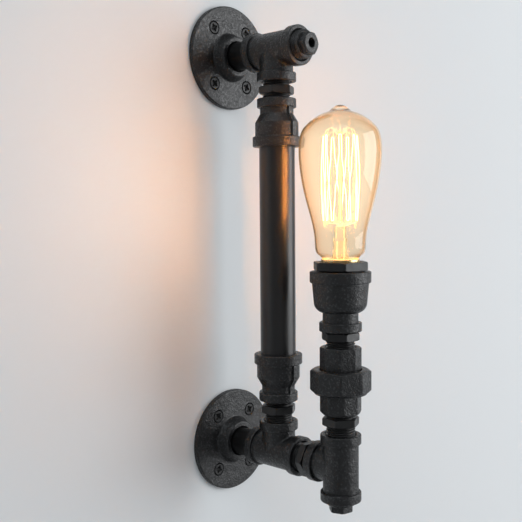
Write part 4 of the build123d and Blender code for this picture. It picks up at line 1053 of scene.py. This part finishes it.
class PIPELIGHT_OT_filament(bpy.types.Operator):
    """Bend the glowing squirrel-cage filament up and down between its hooks"""
    bl_idname = "pipelight.filament"
    bl_label = "Filament"

    def execute(self, context):
        looks = context.scene.bulb_looks
        path = filament_path(looks, *node_heights("bulb_filament"))
        path = path + np.array([LAMP_AXIS[0], LAMP_AXIS[1], 0])
        points = tube_points(path, looks.filament_radius, WIRE_SIDES)
        piece = add_surface("wavy_filament", points, "bulb", "filament", poles=(True, True))
        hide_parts("bulb_filament")
        return {"FINISHED"}


class PIPELIGHT_OT_cap(bpy.types.Operator):
    """Roll the bulb's brass cap with its rounded thread"""
    bl_idname = "pipelight.cap"
    bl_label = "Bulb Cap"

    def execute(self, context):
        angles = all_round(CAP_COLUMNS)
        profile = self.profile(angles, context.scene.thread_sizes)
        points = turned_points(profile, angles, upright(LAMP_AXIS))
        piece = add_surface("threaded_bulb_cap", points, "bulb", "bulb_cap_brass", wrap_rows=True)
        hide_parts("bulb_cap_shell")
        return {"FINISHED"}

    @staticmethod
    def profile(angles, sizes):
        """Closed profile of the thin cap: radius = crest - depth * (1 + cos(turns)) / 2, in a rim.

        turns counts the pitch along the height less the angle, and the groove fades at both ends.
        """
        columns = len(angles)
        low, high = node_heights("bulb_cap_shell")
        crest, wall, rim_r, hole_r, floor_r = 13.2 * MM, 0.35 * MM, 13.75 * MM, 6.0 * MM, 11.4 * MM
        bottom, top, fade = low + 1.8 * MM, high - 2.5 * MM, 1.0 * MM
        rim_start, inner_start, rim_edge = 0.6 * MM, 0.2 * MM, 0.3 * MM
        heights = np.linspace(bottom, top, CAP_ROWS)
        turns = 2 * np.pi * heights[:, None] / sizes.cap_pitch - angles[None, :]
        strength = falling(-heights, -bottom, fade) * falling(heights, top, fade)
        outer_r = crest - sizes.cap_depth * (1 + np.cos(turns)) / 2 * strength[:, None]
        rim = soften(rings(columns, (crest, top), (rim_r, top + rim_start), (rim_r, high),
                           (rim_r - wall * 2, high), (crest - wall, top + inner_start)), rim_edge)
        return np.concatenate([
            rings(columns, (hole_r, low), (floor_r, low)),
            pairs(outer_r, heights[:, None]),
            rim[1:-1],
            pairs(outer_r - wall, heights[:, None])[::-1],
            rings(columns, (floor_r - wall, low + wall), (hole_r, low + wall)),
        ])


class PIPELIGHT_OT_finishes(bpy.types.Operator):
    """Paint every node of the frame with the material of its slot"""
    bl_idname = "pipelight.finishes"
    bl_label = "Finishes"

    def execute(self, context):
        slots = {row["node"]: row["material_slot"] for row in frame["record"]["subparts"]}
        for name, piece in frame["nodes"].items():
            level = name in ("lower_stub_pipe", "upper_stub_pipe")
            chosen = MATERIALS[slots[name] + ("_level" if level else "")]
            if not piece.material_slots:
                piece.data.materials.append(chosen)
            for material_slot in piece.material_slots:
                material_slot.material = chosen
        frame["nodes"]["bulb_glass"].visible_shadow = False
        frame["nodes"]["bulb_stem"].visible_shadow = False
        return {"FINISHED"}


# ---------------------------------------------------------------- stage
STAGE_REACH = 4.0  # how far the wall and the floor go on, in metres
FLOOR_Z = -0.42
WALL_Y = 0.0002  # just behind the flanges' backs
STAGE_MOTTLE, STAGE_MOTTLE_SIZE = 0.985, 0.4  # a faint change of tone, and its size in metres
SENSOR_WIDTH = 36.0  # of the camera, in millimetres


def stage_plane(name, corners, paint, openings=()):
    """A flat sheet of the studio.

    With openings, given as centre and radius, the sheet is clear inside them and when seen from
    behind, so that the light's back is lit and can be seen.
    """
    mesh = bpy.data.meshes.new(name)
    mesh.from_pydata(corners, [], [(0, 1, 2, 3)])
    sheet = bpy.data.objects.new(name, mesh)
    bpy.context.scene.collection.objects.link(sheet)
    material, tree, main = shader(name + "_paint")
    place = object_place(tree)
    mottle = noise(tree, place, STAGE_MOTTLE_SIZE, 2.0)
    darker = [part * STAGE_MOTTLE for part in paint]
    set_inputs(tree, main, {"Base Color": blended(tree, mottle, darker, paint),
                            "Roughness": 0.9, "Specular IOR Level": 0.1})
    if openings:
        clear_here = add_node(tree, "ShaderNodeNewGeometry", {}).outputs["Backfacing"]
        for centre, radius in openings:
            away = add_node(tree, "ShaderNodeVectorMath", {0: place, 1: centre},
                            operation="DISTANCE").outputs["Value"]
            inside = arithmetic(tree, "LESS_THAN", away, radius)
            clear_here = arithmetic(tree, "MAXIMUM", clear_here, inside)
        clear = add_node(tree, "ShaderNodeBsdfTransparent", {}).outputs[0]
        mix = add_node(tree, "ShaderNodeMixShader", {0: clear_here, 1: main.outputs[0], 2: clear})
        output = next(n for n in tree.nodes if n.type == "OUTPUT_MATERIAL")
        tree.links.new(mix.outputs[0], output.inputs["Surface"])
    mesh.materials.append(material)
    return sheet


def soft_lamp(name, place, target, size, power, tint):
    """A lamp of the given width and height that faces its target and isn't seen through glass."""
    data = bpy.data.lights.new(name, "AREA")
    data.shape = "RECTANGLE"
    data.size, data.size_y = size
    data.energy = power
    data.color = tint
    lamp = bpy.data.objects.new(name, data)
    lamp.location = place
    lamp.visible_transmission = False
    way = np.array(target, float) - np.array(place, float)
    from_above = math.atan2(math.hypot(way[0], way[1]), -way[2])
    lamp.rotation_euler = (from_above, 0, math.atan2(way[1], way[0]) - math.pi / 2)
    bpy.context.scene.collection.objects.link(lamp)
    return lamp


class PIPELIGHT_OT_stage(bpy.types.Operator):
    """Set up the wall, the floor, the soft lamps, the room light and the camera"""
    bl_idname = "pipelight.stage"
    bl_label = "Stage"

    def execute(self, context):
        scene = context.scene
        looks = scene.stage_looks
        far = STAGE_REACH
        behind_flanges = [((0, WALL_Y, height), FLANGE_COVER_R) for height in (0, UPPER_FLANGE_Z)]
        stage_plane("wall", [(-far, WALL_Y, FLOOR_Z), (far, WALL_Y, FLOOR_Z), (far, WALL_Y, far),
                             (-far, WALL_Y, far)], looks.wall, behind_flanges)
        stage_plane("floor", [(-far, -far, FLOOR_Z), (far, -far, FLOOR_Z), (far, far, FLOOR_Z),
                              (-far, far, FLOOR_Z)], looks.floor)
        soft_lamp("key_lamp", place=(1.66, -1.98, 0.50), target=(0, -0.08, 0.15), size=(2.1, 1.8),
                  power=looks.key, tint=looks.key_tint)
        soft_lamp("fill_lamp", place=(-1.2, -1.0, 2.2), target=(0, -0.05, 0.16), size=(1.6, 1.6),
                  power=looks.fill, tint=looks.fill_tint)
        world = bpy.data.worlds.new("room")
        world.use_nodes = True
        background = next(n for n in world.node_tree.nodes if n.type == "BACKGROUND")
        background.inputs["Color"].default_value = (*looks.room, 1)
        background.inputs["Strength"].default_value = looks.sky
        scene.world = world
        scene.view_settings.view_transform = "Standard"
        camera_data = bpy.data.cameras.new("camera")
        camera_data.lens = looks.lens / MM
        camera_data.sensor_width = SENSOR_WIDTH
        camera = bpy.data.objects.new("camera", camera_data)
        turned = Matrix.Rotation(looks.turn, 4, "Z")
        tilted = Matrix.Rotation(math.pi / 2 + looks.tilt, 4, "X")
        leaned = Matrix.Rotation(looks.roll, 4, "Z")
        camera.matrix_world = Matrix.Translation(looks.place) @ turned @ tilted @ leaned
        scene.collection.objects.link(camera)
        scene.camera = camera
        return {"FINISHED"}


STEPS = (PIPELIGHT_OT_stage, PIPELIGHT_OT_finishes, PIPELIGHT_OT_nipples, PIPELIGHT_OT_plugs,
         PIPELIGHT_OT_union, PIPELIGHT_OT_screws, PIPELIGHT_OT_filament, PIPELIGHT_OT_cap)
GROUPS = {"thread_sizes": ThreadSizes, "spanner_sizes": SpannerSizes, "paint_colours": PaintColours,
          "bulb_looks": BulbLooks, "stage_looks": StageLooks}


class PIPELIGHT_PT_sidebar(bpy.types.Panel):
    """Lists the steps and the sizes and colours that they use"""
    bl_idname = "PIPELIGHT_PT_sidebar"
    bl_label = "Pipe Light"
    bl_space_type = "VIEW_3D"
    bl_region_type = "UI"
    bl_category = "Pipe Light"

    def draw(self, context):
        for step in STEPS:
            self.layout.operator(step.bl_idname)
        for name, group in GROUPS.items():
            box = self.layout.box()
            box.label(text=name.replace("_", " ").capitalize())
            for key in group.__annotations__:
                box.prop(getattr(context.scene, name), key)


def register():
    """Make the groups, the steps and the panel known, and hang the groups on the scene."""
    for group in GROUPS.values():
        bpy.utils.register_class(group)
    for step in (*STEPS, PIPELIGHT_PT_sidebar):
        bpy.utils.register_class(step)
    for name, group in GROUPS.items():
        setattr(bpy.types.Scene, name, bpy.props.PointerProperty(type=group))


def unregister():
    """Take all of it away again, in the opposite order."""
    for name in GROUPS:
        delattr(bpy.types.Scene, name)
    for kind in (PIPELIGHT_PT_sidebar, *reversed(STEPS), *reversed(GROUPS.values())):
        bpy.utils.unregister_class(kind)


def main():
    """Register, make the materials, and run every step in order."""
    register()
    make_materials(bpy.context.scene)
    for step in STEPS:
        family, name = step.bl_idname.split(".")
        getattr(getattr(bpy.ops, family), name)()
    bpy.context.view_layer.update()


if __name__ == "__main__":
    main()
